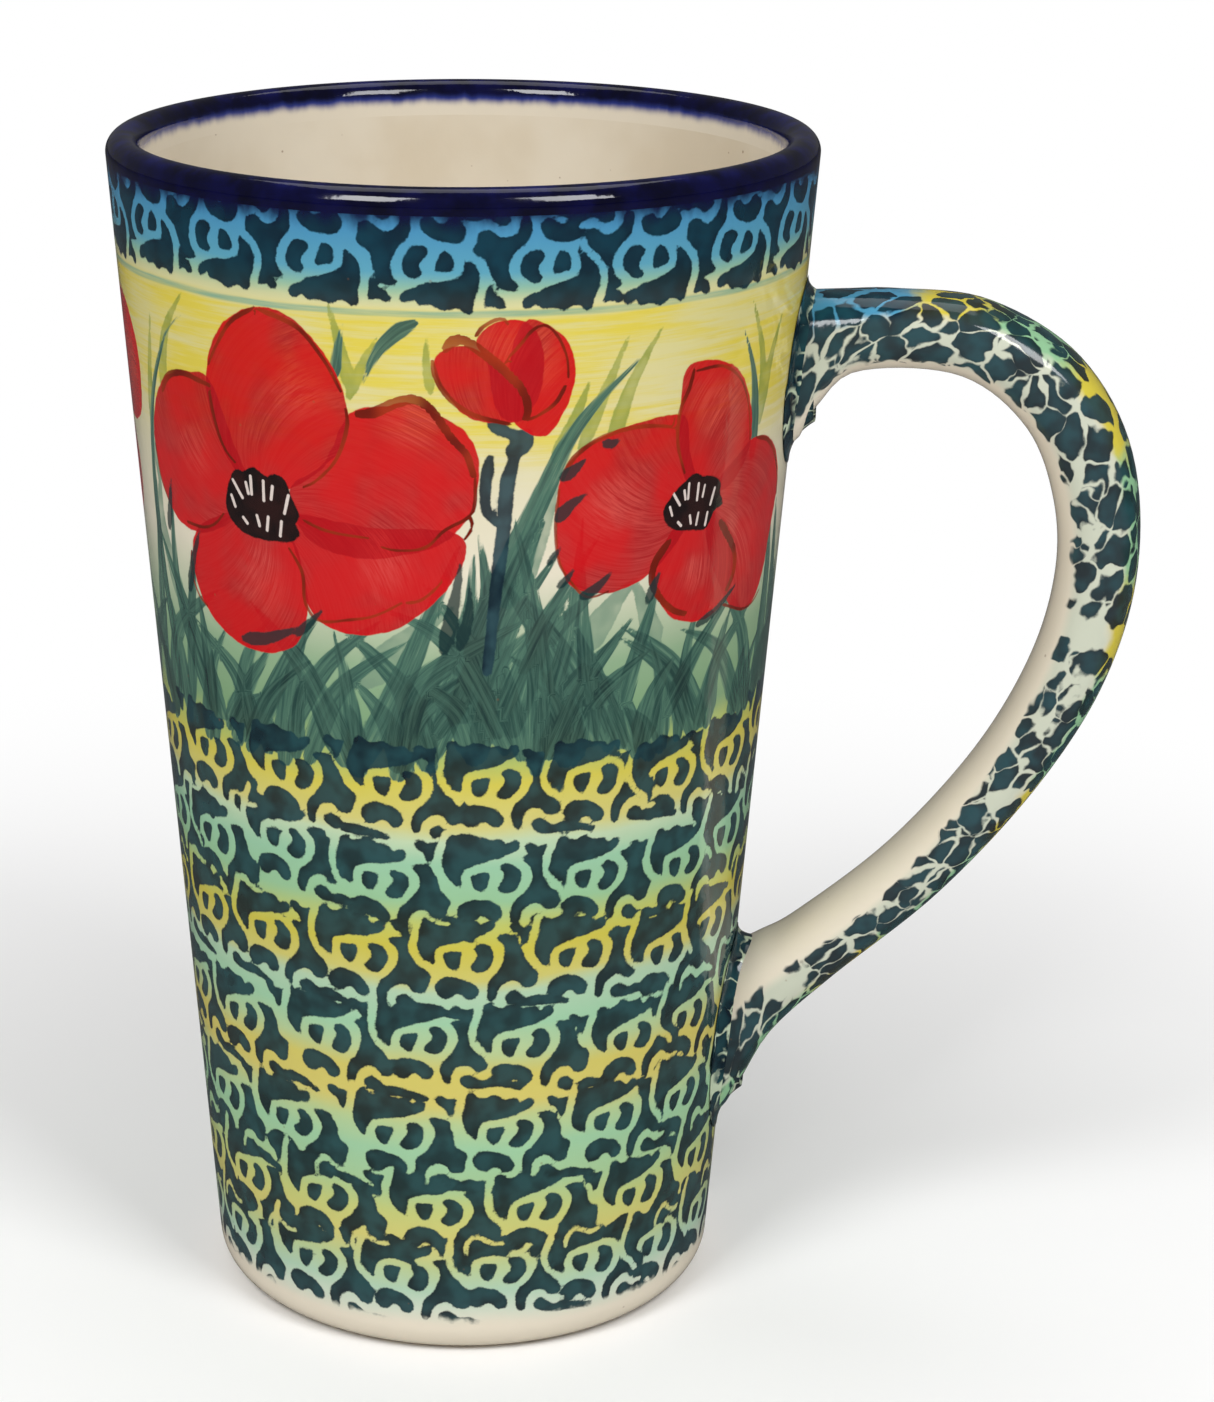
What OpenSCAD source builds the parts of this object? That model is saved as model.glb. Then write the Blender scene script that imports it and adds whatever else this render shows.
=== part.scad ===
// Tall tapered stoneware mug with one big loop handle.
// The cup and the handle are two clay castings. Slip joins them at two places on the wall.
// Four coats of glaze and a dark rim coat cover the clay, apart from the foot that it stands on.
// The origin is the middle of the foot, on the table. +Z is up and the handle points along +X.

/* [Cup] */
// Height from the table to the top of the lip
mug_h = 152; // [130:1:170]
// Diameter over the glaze at the lip
lip_d = 89; // [80:1:96]
// Diameter at the table, if the wall went straight down to it
foot_d = 65; // [58:1:70]
// Thickness of the clay wall
wall_t = 3.7; // [3:0.1:5]
// Thickness of the clay floor
floor_t = 5; // [4:0.5:7]
// Radius that rounds the wall into the foot
foot_round = 4.5; // [3:0.5:6]
// Radius inside, between the wall and the floor
floor_round = 9; // [6:0.5:12]

/* [Foot] */
// Inner diameter of the foot ring
ring_in_d = 46; // [40:1:48]
// Depth of the hollow inside the foot ring
ring_depth = 1.5; // [1:0.1:2]

/* [Glaze] */
// Thickness of every coat of glaze
glaze_t = 0.3; // [0.2:0.05:0.4]
// Depth of the dark rim coat below the lip, outside
rim_out = 3; // [2:0.1:5]
// Depth of the dark rim coat below the lip, inside
rim_in = 4.5; // [3:0.1:6]
// How far round the foot's curve the outer glaze reaches, in degrees from straight down
dry_angle = 35; // [25:1:50]

/* [Handle] */
// Reach of the handle out from the wall
handle_reach = 45; // [40:1:50]
// Width of the strap
strap_w = 13; // [11:0.5:15]
// How square the strap's section is: 2 is an ellipse
strap_square = 2.4; // [2:0.1:3]

/* [Joints] */
// How far the slip stands out from the wall
slip_out = 2; // [1.5:0.1:2.5]
// How far the slip spreads round the end of the handle
slip_spread = 1.5; // [1:0.1:2]

/* [Hidden] */
$fn = 96;

clay = [0.86, 0.81, 0.72];
cream = [0.91, 0.88, 0.80];
cobalt = [0.05, 0.07, 0.30];
teal = [0.10, 0.24, 0.27];
leaf = [0.45, 0.60, 0.42];
red = [0.80, 0.10, 0.10];

// The sizes that the handle's stations are drawn for
drawn_h = 152;
drawn_reach = 45;
drawn_w = 13;

lip_r = lip_d / 2;
foot_r = foot_d / 2;
ring_in_r = ring_in_d / 2;
slope = (lip_r - foot_r) / mug_h;
lean = atan(slope);
floor_z = ring_depth + floor_t;
arc_steps = 12;

// Handle stations from the top joint round to the bottom one. Each row holds the outer edge's
// distance out from the wall and height, the same for the inner edge, and the width.
stations = [
    [-4.5, 132.2, -4.5, 113.0, 13.4],
    [0, 132.4, 0.4, 113.6, 13.2],
    [4.4, 132.6, 3.0, 118.7, 12.8],
    [11, 132.8, 7.6, 123.3, 12.6],
    [22.5, 131.7, 20.0, 123.2, 12.8],
    [34.2, 125.2, 28.9, 117.0, 13.0],
    [42.0, 113.8, 33.6, 107.8, 13.2],
    [44.7, 98.9, 35.2, 97.6, 13.4],
    [42.5, 84.1, 33.4, 85.8, 13.4],
    [35.8, 69.7, 27.8, 72.8, 13.4],
    [25.3, 55.1, 18.3, 59.5, 13.4],
    [12.9, 42.6, 7.5, 49.2, 13.6],
    [6.0, 34.6, 3.0, 46.3, 14],
    [2.6, 27.0, 0.8, 45.3, 14],
    [0, 22.0, -1.0, 44.9, 13.6],
    [-4.5, 18.6, -4.5, 44.6, 13.4]
];
ring_steps = 4;
sides = 20;

// Where slip holds the handle: the strap's lowest and highest points there, on the clay wall
// and then at the slip's outer end, and half the strap's width
upper_foot = [113.5, 115.2, 132.4, 132.5, 6.6];
lower_foot = [22.0, 25.2, 45.2, 46.2, 7.0];
// The slip's outline from the clay outwards: part of slip_out, part of slip_spread
slip_steps = [[-0.8, 1], [0.15, 1], [0.55, 0.85], [0.85, 0.55], [1, 0.2]];

// Radius of the wall at height z, set back from the outside by t
function wall_r(z, t) = foot_r + slope * z - t / cos(lean);

// Points on an arc, angles measured from straight outwards
function arc(c, r, a0, a1) =
    [for (i = [0 : arc_steps]) let (a = a0 + (a1 - a0) * i / arc_steps) c + r * [cos(a), sin(a)]];

// Middles of the three arcs: foot, lip and inside corner
foot_c = [wall_r(foot_round, foot_round + glaze_t), foot_round];
lip_round = wall_t / 2;
lip_z = mug_h - glaze_t - lip_round;
lip_c = [wall_r(lip_z, lip_round + glaze_t), lip_z];
corner_z = floor_z + floor_round;
corner_c = [wall_r(corner_z, floor_round + wall_t + glaze_t), corner_z];

// Heights where one coat of glaze stops and the rim's begins
rim_out_z = mug_h - rim_out;
rim_in_z = mug_h - rim_in;
inner_t = wall_t + glaze_t;

function flip(p) = [for (i = [len(p) - 1 : -1 : 0]) p[i]];

// Outside from the foot's dry edge up to the rim coat, t outside the clay
function outside_line(t) = concat(
    arc(foot_c, foot_round + t, dry_angle - 90, -lean),
    [[wall_r(rim_out_z, glaze_t - t), rim_out_z]]
);

// Over the lip from the outside to the inside, t outside the clay
function lip_line(t) = concat(
    [[wall_r(rim_out_z, glaze_t - t), rim_out_z]],
    arc(lip_c, lip_round + t, -lean, 180 - lean),
    [[wall_r(rim_in_z, inner_t + t), rim_in_z]]
);

// Down the inside from the rim coat to the middle of the floor, t outside the clay
function inside_line(t) = concat(
    [[wall_r(rim_in_z, inner_t + t), rim_in_z]],
    arc(corner_c, floor_round - t, -lean, -90),
    [[0, floor_z + t]]
);

// A coat of glaze between the clay's line and the same line moved out by the glaze
module coat(on_clay, on_top) {
    rotate_extrude()
        polygon(concat(on_top, flip(on_clay)));
}

// Everything inside the clay's outer surface, to cut what is stuck on it
module core() {
    rotate_extrude()
        polygon(concat(
            [[0, 0], [foot_c[0], 0]],
            arc(foot_c, foot_round, -90, -lean),
            arc(lip_c, lip_round, -lean, 90),
            [[0, lip_z + lip_round]]
        ));
}

// A smooth curve through four rows, between the middle two
function blend(a, b, c, d, t) =
    (2 * b + (c - a) * t + (2 * a - 5 * b + 4 * c - d) * t * t
        + (3 * b - a - 3 * c + d) * t * t * t) / 2;

last = len(stations) - 1;
function row(i) = stations[min(max(i, 0), last)];
rows = [for (i = [0 : last - 1]) for (j = [0 : ring_steps - 1])
    blend(row(i - 1), row(i), row(i + 1), row(i + 2), j / ring_steps)];

// Puts one edge of a station on the mug: out from the wall and up
function edge(out, up) =
    let (z = up * mug_h / drawn_h)
    [wall_r(z, 0) + out * handle_reach / drawn_reach, z];

function signed_pow(v, p) = sign(v) * pow(abs(v), p);

// One ring of the strap, grown by g all round
function strap_ring(s, g) =
    let (
        outer = edge(s[0], s[1]),
        inner = edge(s[2], s[3]),
        mid = (outer + inner) / 2,
        half = (outer - inner) / 2,
        reach = half * (1 + g / norm(half)),
        width = s[4] / 2 * strap_w / drawn_w + g,
        p = 2 / strap_square
    )
    [for (k = [0 : sides - 1])
        let (
            a = 360 * k / sides,
            on_edge = mid + reach * signed_pow(cos(a), p)
        )
        [on_edge[0], width * signed_pow(sin(a), p), on_edge[1]]];

// A closed skin over rings that all have the same number of points, with a fan at each end
module skin(rings) {
    n = len(rings[0]);
    m = len(rings);
    ends = [for (r = [rings[0], rings[m - 1]]) [for (q = r) 1] * r / n];
    points = concat([for (r = rings) for (q = r) q], ends);
    walls = [for (i = [0 : m - 2]) for (k = [0 : n - 1]) for (half = [0, 1])
        let (
            a = i * n + k,
            b = i * n + (k + 1) % n
        )
        half == 0 ? [a, b + n, a + n] : [a, b, b + n]];
    first_fan = [for (k = [0 : n - 1]) [m * n, (k + 1) % n, k]];
    last_fan = [for (k = [0 : n - 1]) [m * n + 1, (m - 1) * n + k, (m - 1) * n + (k + 1) % n]];
    polyhedron(points, concat(walls, first_fan, last_fan));
}

module strap(g) {
    skin([for (s = rows) strap_ring(s, g)]);
}

// Slip all round one end of the handle, as a plug that runs into the wall
module slip(foot) {
    tall = mug_h / drawn_h;
    p = 2 / strap_square;
    skin([for (s = slip_steps)
        let (
            out = max(s[0], 0),
            spread = slip_spread * s[1],
            low = (foot[0] + (foot[1] - foot[0]) * out) * tall - spread,
            high = (foot[2] + (foot[3] - foot[2]) * out) * tall + spread,
            width = foot[4] * strap_w / drawn_w + spread
        )
        [for (k = [0 : sides - 1])
            let (
                a = 360 * k / sides,
                y = width * signed_pow(sin(a), p),
                z = (low + high) / 2 + (high - low) / 2 * signed_pow(cos(a), p),
                r = wall_r(z, -slip_out * s[0])
            )
            [sqrt(r * r - y * y), y, z]]]);
}

module joint(foot) {
    difference() {
        slip(foot);
        strap(0);
        core();
    }
}

module cup() {
    color(clay)
        rotate_extrude()
            polygon(concat(
                [[0, ring_depth], [ring_in_r - ring_depth, ring_depth], [ring_in_r, 0]],
                arc(foot_c, foot_round, -90, -lean),
                arc(lip_c, lip_round, -lean, 180 - lean),
                arc(corner_c, floor_round, -lean, -90),
                [[0, floor_z]]
            ));
}

module handle() {
    color(clay)
        difference() {
            strap(0);
            core();
        }
}

module upper_joint() {
    color(teal)
        joint(upper_foot);
}

module lower_joint() {
    color(teal)
        joint(lower_foot);
}

module outer_glaze() {
    color(red)
        difference() {
            coat(outside_line(0), outside_line(glaze_t));
            slip(upper_foot);
            slip(lower_foot);
        }
}

module rim_glaze() {
    color(cobalt)
        coat(lip_line(0), lip_line(glaze_t));
}

module liner_glaze() {
    color(cream)
        coat(inside_line(0), inside_line(glaze_t));
}

module base_glaze() {
    color(cream)
        translate([0, 0, ring_depth - glaze_t])
            cylinder(h = glaze_t, r = ring_in_r - 2 * ring_depth);
}

module handle_glaze() {
    color(leaf)
        difference() {
            strap(glaze_t);
            strap(0);
            core();
            slip(upper_foot);
            slip(lower_foot);
        }
}

cup();
handle();
upper_joint();
lower_joint();
outer_glaze();
rim_glaze();
liner_glaze();
base_glaze();
handle_glaze();
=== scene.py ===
import math
import random

import bpy
import numpy as np
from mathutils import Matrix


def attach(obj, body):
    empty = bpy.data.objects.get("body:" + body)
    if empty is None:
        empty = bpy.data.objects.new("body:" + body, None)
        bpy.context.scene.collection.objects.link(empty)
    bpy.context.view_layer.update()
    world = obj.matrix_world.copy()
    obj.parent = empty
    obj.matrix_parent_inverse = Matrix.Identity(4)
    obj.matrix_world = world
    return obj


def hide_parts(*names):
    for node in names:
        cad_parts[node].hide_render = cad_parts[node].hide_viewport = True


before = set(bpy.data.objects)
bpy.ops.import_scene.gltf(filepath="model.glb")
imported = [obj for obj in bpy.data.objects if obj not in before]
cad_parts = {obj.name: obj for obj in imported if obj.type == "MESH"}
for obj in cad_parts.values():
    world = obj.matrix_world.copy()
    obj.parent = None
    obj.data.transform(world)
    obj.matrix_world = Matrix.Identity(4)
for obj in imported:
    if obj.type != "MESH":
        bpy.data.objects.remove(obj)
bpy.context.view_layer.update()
mm = 0.001


# camera, light and table

studio = {
    "cameraPlace": (0.0609, -0.4330, 0.2214),
    "cameraTurn": 8.0,      # degrees round the mug, towards the handle
    "cameraDip": 16.27,     # degrees down
    "lens": 90.8,
    "shift": (0.1024, -0.0877),
    "boxWatts": (6.1, 5.7, 2.4),
    "sky": 0.35,
    "skyInGlaze": 0.1,      # how bright the room shows in the gloss of the glaze
}


def areaLight(name, turn, height, distance, size, watts):
    # turn is measured round the mug from the camera, height in degrees above the table
    light = bpy.data.lights.new(name, "AREA")
    light.shape = "RECTANGLE"
    light.size, light.size_y = size
    light.energy = watts
    lamp = bpy.data.objects.new(name, light)
    bpy.context.scene.collection.objects.link(lamp)
    side = math.radians(turn + studio["cameraTurn"])
    up = math.radians(height)
    lamp.location = (
        distance * math.cos(up) * math.sin(side),
        -distance * math.cos(up) * math.cos(side),
        0.08 + distance * math.sin(up),
    )
    lamp.rotation_euler = (math.radians(90 - height), 0, side)


def setStudio():
    camera = bpy.data.cameras.new("mainCamera")
    camera.lens = studio["lens"]
    camera.shift_x, camera.shift_y = studio["shift"]
    holder = bpy.data.objects.new("mainCamera", camera)
    bpy.context.scene.collection.objects.link(holder)
    holder.location = studio["cameraPlace"]
    holder.rotation_euler = (math.radians(90 - studio["cameraDip"]), 0, math.radians(studio["cameraTurn"]))
    bpy.context.scene.camera = holder
    left, right, top = studio["boxWatts"]
    areaLight("softboxLeft", -34, 42, 1.1, (0.34, 0.5), left)
    areaLight("softboxRight", 38, 42, 1.1, (0.36, 0.5), right)
    areaLight("softboxTop", 180, 70, 1.2, (0.9, 0.7), top)
    world = bpy.data.worlds.new("studioRoom")
    bpy.context.scene.world = world
    world.use_nodes = True
    room = world.node_tree
    background = room.nodes["Background"]
    background.inputs["Color"].default_value = (1, 1, 1, 1)
    gloss = room.nodes.new("ShaderNodeLightPath")
    strength = room.nodes.new("ShaderNodeMapRange")
    strength.inputs[3].default_value, strength.inputs[4].default_value = studio["sky"], studio["skyInGlaze"]
    room.links.new(gloss.outputs["Is Glossy Ray"], strength.inputs[0])
    room.links.new(strength.outputs[0], background.inputs["Strength"])
    bpy.context.scene.view_settings.view_transform = "Standard"
    print("studio set")


# helpers for meshes

def bareScene():
    if bpy.context.object and bpy.context.object.mode != "OBJECT":
        bpy.ops.object.mode_set(mode="OBJECT")
    bpy.ops.object.select_all(action="DESELECT")


def placesOf(piece):
    flat = np.zeros(len(piece.data.vertices) * 3)
    piece.data.vertices.foreach_get("co", flat)
    return flat.reshape(-1, 3) / mm


def moveTo(piece, places):
    piece.data.vertices.foreach_set("co", (places * mm).ravel())
    piece.data.update()


def turned(name, outline, steps):
    # a closed outline of (radius, height) points, spun round the mug's axis
    bareScene()
    bpy.ops.mesh.primitive_circle_add(vertices=len(outline), radius=0.01)
    piece = bpy.context.object
    piece.name = piece.data.name = name
    places = np.zeros((len(outline), 3))
    places[:, 0] = [point[0] for point in outline]
    places[:, 2] = [point[1] for point in outline]
    moveTo(piece, places)
    bpy.ops.object.mode_set(mode="EDIT")
    bpy.ops.mesh.select_all(action="SELECT")
    bpy.ops.mesh.spin(steps=steps, angle=2 * math.pi, center=(0, 0, 0), axis=(0, 0, 1))
    bpy.ops.mesh.select_all(action="SELECT")
    bpy.ops.mesh.remove_doubles(threshold=2e-6)
    bpy.ops.mesh.normals_make_consistent(inside=False)
    bpy.ops.object.mode_set(mode="OBJECT")
    bpy.ops.object.shade_smooth_by_angle(angle=math.radians(35))
    return piece


def keep(piece, name, values):
    # per vertex numbers that a material reads by name
    store = piece.data.attributes.new(name, "FLOAT_VECTOR", "POINT")
    store.data.foreach_set("vector", np.asarray(values, np.float32).ravel())


def ownFor(piece, material, slot, *nodes):
    piece.data.materials.clear()
    piece.data.materials.append(material)
    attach(piece, "root")
    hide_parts(*nodes)


# the cup's lines, read from the CAD coats

def wallFromFrame():
    coat = placesOf(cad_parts["outer_glaze"])
    radius, height = np.hypot(coat[:, 0], coat[:, 1]), coat[:, 2]
    topZ = height.max()
    topR = radius[height > topZ - 0.01].max()
    straight = (height > 3.0) & (height < 6.0)
    lowR = radius[straight].max()
    lowAt = height[straight][radius[straight].argmax()]
    slope = (topR - lowR) / (topZ - lowAt)
    rim = placesOf(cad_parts["rim_glaze"])
    liner = placesOf(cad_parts["liner_glaze"])
    return {
        "slope": slope,
        "footR": topR - slope * topZ,
        "coatTop": topZ,
        "lipTop": rim[:, 2].max(),
        "rimIn": rim[:, 2].min(),
        "floorZ": liner[:, 2].min(),
    }


cup = wallFromFrame()
cup.update({
    "coat": 0.3,          # thickness of the glaze, mm
    "clay": 3.7,          # thickness of the clay wall
    "footRound": 4.5,
    "floorRound": 9.0,
    "columns": 480,       # steps round the wall
    "rowStep": 0.48,      # mm between rings of the painted wall
    "split": 85.0,        # height at which the painted wall is made in two pieces
})
lean = math.atan(cup["slope"])


def wallR(z, inset=0.0):
    return cup["footR"] + cup["slope"] * z - inset / math.cos(lean)


def arcPoints(middle, radius, start, end, steps):
    angles = np.linspace(math.radians(start), math.radians(end), steps + 1)
    return [(middle[0] + radius * math.cos(a), middle[1] + radius * math.sin(a)) for a in angles]


def straightRows(low, high, inset=0.0):
    rows = max(1, round((high - low) / cup["rowStep"]))
    return [(wallR(z, inset), z) for z in np.linspace(low, high, rows + 1)]


def makeWall():
    coat, rounding = cup["coat"], cup["footRound"]
    middle = (wallR(rounding, rounding + coat), rounding)
    tilt = math.degrees(lean)
    foot = arcPoints(middle, rounding + coat, -55, -tilt, 12)
    low = foot[:-1] + straightRows(foot[-1][1], cup["split"])
    lowInner = [(wallR(cup["split"], coat), cup["split"])] + arcPoints(middle, rounding, -tilt, -55, 8)
    stamped = turned("stampedWall", low + lowInner, cup["columns"])
    high = straightRows(cup["split"], cup["coatTop"])
    highInner = [(wallR(z, coat), z) for z in (cup["coatTop"], cup["split"])]
    flowered = turned("floweredWall", high + highInner, cup["columns"])
    return stamped, flowered


def makeRim():
    coat, clay, tilt = cup["coat"], cup["clay"], math.degrees(lean)
    half = clay / 2
    lipZ = cup["lipTop"] - coat - half
    middle = (wallR(lipZ, half + coat), lipZ)
    inner = 2 * coat + clay
    outer = [(wallR(cup["coatTop"]), cup["coatTop"])]
    outer += arcPoints(middle, half + coat, -tilt, 180 - tilt, 36)
    outer += [(wallR(cup["rimIn"], inner), cup["rimIn"])]
    back = [(wallR(cup["rimIn"], inner - coat), cup["rimIn"])]
    back += arcPoints(middle, half, 180 - tilt, -tilt, 24)
    back += [(wallR(cup["coatTop"], coat), cup["coatTop"])]
    return turned("rimCoat", outer + back, 240)


def makeLiner():
    coat, clay, tilt = cup["coat"], cup["clay"], math.degrees(lean)
    curve, floor = cup["floorRound"], cup["floorZ"]
    middle = (wallR(floor + curve, curve + clay + coat), floor + curve)
    inner = clay + 2 * coat
    skin = [(wallR(z, inner), z) for z in np.linspace(cup["rimIn"], floor + curve + 1, 28)]
    skin += arcPoints(middle, curve - coat, -tilt, -90, 16)
    skin += [(r, floor + coat) for r in (12.0, 6.0, 0.0)]
    back = [(0.0, floor)] + arcPoints(middle, curve, -90, -tilt, 10)
    back += [(wallR(cup["rimIn"], clay + coat), cup["rimIn"])]
    return turned("linerCoat", skin + back, 240)


# the handle, through the same stations as the CAD strap

strap = {
    # outer edge out from the wall and up, inner edge out and up, width; mm
    "stations": [
        (-4.5, 132.2, -4.5, 113.0, 13.4), (0, 132.4, 0.4, 113.6, 13.2),
        (4.4, 132.6, 3.0, 118.7, 12.8), (11, 132.8, 7.6, 123.3, 12.6),
        (22.5, 131.7, 20.0, 123.2, 12.8), (34.2, 125.2, 28.9, 117.0, 13.0),
        (42.0, 113.8, 33.6, 107.8, 13.2), (44.7, 98.9, 35.2, 97.6, 13.4),
        (42.5, 84.1, 33.4, 85.8, 13.4), (35.8, 69.7, 27.8, 72.8, 13.4),
        (25.3, 55.1, 18.3, 59.5, 13.4), (12.9, 42.6, 7.5, 49.2, 13.6),
        (6.0, 34.6, 3.0, 46.3, 14), (2.6, 27.0, 0.8, 45.3, 14),
        (0, 22.0, -1.0, 44.9, 13.6), (-4.5, 18.6, -4.5, 44.6, 13.4),
    ],
    "square": 2.4,        # 2 is an oval section, more is squarer
    "sides": 84,
    "rings": 380,
    # how far round the strap the dabs reach, near its top and near its foot, mm
    "paintHalf": (13.0, 11.0),
}


def stationAt(t):
    # a smooth curve through the stations; t counts stations
    rows = np.array(strap["stations"], float)
    rows[:, 0] += cup["footR"] + cup["slope"] * rows[:, 1]
    rows[:, 2] += cup["footR"] + cup["slope"] * rows[:, 3]
    last = len(rows) - 1
    i = np.clip(np.floor(t).astype(int), 0, last - 1)
    f = (t - i)[:, None]
    a, b, c, d = (rows[np.clip(i + k, 0, last)] for k in (-1, 0, 1, 2))
    return (2 * b + (c - a) * f + (2 * a - 5 * b + 4 * c - d) * f**2 + (3 * b - a - 3 * c + d) * f**3) / 2


def signedPower(value, power):
    return np.sign(value) * np.abs(value) ** power


def strapPoint(rows, angle, grow):
    middle = (rows[:, 0:2] + rows[:, 2:4]) / 2
    half = (rows[:, 0:2] - rows[:, 2:4]) / 2
    half = half * (1 + grow / np.linalg.norm(half, axis=1))[:, None]
    power = 2 / strap["square"]
    across = half * signedPower(np.cos(angle), power)[:, None]
    side = (rows[:, 4] / 2 + grow) * signedPower(np.sin(angle), power)
    return np.column_stack([middle[:, 0] + across[:, 0], side, middle[:, 1] + across[:, 1]])


def makeHandle():
    sides, rings = strap["sides"], strap["rings"]
    bareScene()
    bpy.ops.mesh.primitive_cylinder_add(vertices=sides, radius=1, depth=1, end_fill_type="NGON")
    piece = bpy.context.object
    piece.name = piece.data.name = "handleCoat"
    for edge in piece.data.edges:
        low, high = (piece.data.vertices[v].co for v in edge.vertices)
        edge.select = abs(low.z - high.z) > 0.5
    for group in (piece.data.vertices, piece.data.polygons):
        for item in group:
            item.select = False
    bpy.context.tool_settings.mesh_select_mode = (False, True, False)
    bpy.ops.object.mode_set(mode="EDIT")
    bpy.ops.mesh.subdivide(number_cuts=rings - 1)
    bpy.ops.object.mode_set(mode="OBJECT")
    bpy.context.tool_settings.mesh_select_mode = (True, False, False)
    tube = placesOf(piece) * mm
    angle = np.arctan2(tube[:, 1], tube[:, 0])
    share = np.clip(tube[:, 2] + 0.5, 0, 1)
    # even steps along the middle of the strap
    fine = np.linspace(0, len(strap["stations"]) - 1, 1200)
    rows = stationAt(fine)
    middle = (rows[:, 0:2] + rows[:, 2:4]) / 2
    length = np.concatenate([[0], np.cumsum(np.linalg.norm(np.diff(middle, axis=0), axis=1))])
    along = share * length[-1]
    rows = stationAt(np.interp(along, length, fine))
    moveTo(piece, strapPoint(rows, angle, cup["coat"]))
    # distance round the section from the middle of its outer face
    ring = np.linspace(0, math.pi, 400)
    sample = stationAt(np.array([8.0]))
    curve = strapPoint(np.repeat(sample, len(ring), 0), ring, cup["coat"])
    steps = np.concatenate([[0], np.cumsum(np.linalg.norm(np.diff(curve, axis=0), axis=1))])
    around = np.interp(np.abs(angle), ring, steps) * np.sign(angle)
    bpy.ops.object.shade_smooth()
    return piece, along, around, length[-1]


# slip fillets where the handle meets the wall

slipJoints = {
    "upper": {"wall": (113.5, 132.4), "out": (116.0, 132.5), "half": 6.6, "spread": (2.2, 1.7), "lift": 2.8},
    "lower": {"wall": (22.0, 45.2), "out": (25.4, 46.4), "half": 7.0, "spread": (1.8, 2.0), "lift": 2.8},
}


def makeSlip(name, shape):
    # a ring round the strap: its front is a hollow curve from the wall to the strap
    rounds, across = 144, 20
    bareScene()
    bpy.ops.mesh.primitive_torus_add(major_segments=rounds, minor_segments=across, major_radius=1,
                                     minor_radius=0.25)
    piece = bpy.context.object
    piece.name = piece.data.name = name
    ring = placesOf(piece) * mm
    angle = np.arctan2(ring[:, 1], ring[:, 0])
    minor = np.arctan2(ring[:, 2], np.hypot(ring[:, 0], ring[:, 1]) - 1)
    front = (minor >= -1e-6)
    share = np.where(front, minor / math.pi, 0)          # 0 on the wall, 1 on the strap
    power = 2 / strap["square"]
    eitherShare = np.where(front, share, -minor / math.pi)
    low = np.interp(eitherShare, [0, 1], [shape["wall"][0], shape["out"][0]])
    high = np.interp(eitherShare, [0, 1], [shape["wall"][1], shape["out"][1]])
    below, above = shape["spread"]
    upness = np.cos(angle)
    spread = np.where(upness < 0, below, above) * (1 - share) ** 2 + 0.3 - 0.6 * share**2
    lift = shape["lift"] * share**2 + 0.12
    sunk = np.where(front, 0, np.sin(-minor))
    spread = np.where(front, spread, np.interp(-minor, [0, math.pi], [shape["spread"][0], -0.3]) - 1.2 * sunk)
    lift = np.where(front, lift, -1.2 * sunk + np.interp(-minor, [0, math.pi], [0.12, shape["lift"]]))
    y = (shape["half"] + spread) * signedPower(np.sin(angle), power)
    z = (low + high) / 2 + ((high - low) / 2 + spread) * signedPower(upness, power)
    radius = cup["footR"] + cup["slope"] * z + lift
    moveTo(piece, np.column_stack([np.sqrt(radius**2 - y**2), y, z]))
    bpy.ops.object.mode_set(mode="EDIT")
    bpy.ops.mesh.select_all(action="SELECT")
    bpy.ops.mesh.normals_make_consistent(inside=False)
    bpy.ops.object.mode_set(mode="OBJECT")
    bpy.ops.object.shade_smooth()
    return piece


# the painting, as distances in mm that the glaze materials turn into brush marks

painting = {
    "front": 8.0,      # degrees from -Y to the middle of the painting
    "unit": 39.0,      # mm: the radius at which places round the wall are given
    "far": 6.0,        # mm: distances are kept up to this
}
wholeTurn = 2 * math.pi * painting["unit"]


def wallPlaces(piece):
    places = placesOf(piece)
    turn = np.degrees(np.arctan2(places[:, 0], -places[:, 1])) - painting["front"]
    return np.radians((turn + 180) % 360 - 180) * painting["unit"], places[:, 2]


def wrapped(around):
    return (around + wholeTurn / 2) % wholeTurn - wholeTurn / 2


def smoothLine(points, closed=False, steps=8):
    points = np.array(points, float)
    count = len(points)
    ends = count if closed else count - 1
    line = []
    for i in range(ends):
        pick = [(i + k) % count if closed else min(max(i + k, 0), count - 1) for k in (-1, 0, 1, 2)]
        a, b, c, d = points[pick]
        for f in np.arange(steps) / steps:
            line.append((2 * b + (c - a) * f + (2 * a - 5 * b + 4 * c - d) * f**2 + (3 * b - a - 3 * c + d) * f**3) / 2)
    line.append(points[0] if closed else points[-1])
    return np.array(line)


def nearLine(x, y, line):
    # distance to the line, share along it, signed distance beside it and distance past its ends
    start, step = line[:-1], np.diff(line, axis=0)
    size = np.maximum((step**2).sum(1), 1e-9)
    dx, dy = x[:, None] - start[:, 0], y[:, None] - start[:, 1]
    f = np.clip((dx * step[:, 0] + dy * step[:, 1]) / size, 0, 1)
    away = np.hypot(dx - f * step[:, 0], dy - f * step[:, 1])
    best = away.argmin(1)
    row = np.arange(len(x))
    lengths = np.concatenate([[0], np.cumsum(np.sqrt(size))])
    along = lengths[best] + f[row, best] * np.sqrt(size[best])
    side = (step[best, 0] * dy[row, best] - step[best, 1] * dx[row, best]) / np.sqrt(size[best])
    away = away[row, best]
    past = np.sqrt(np.maximum(away**2 - side**2, 0))
    return away, along / lengths[-1], side, past


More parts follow.
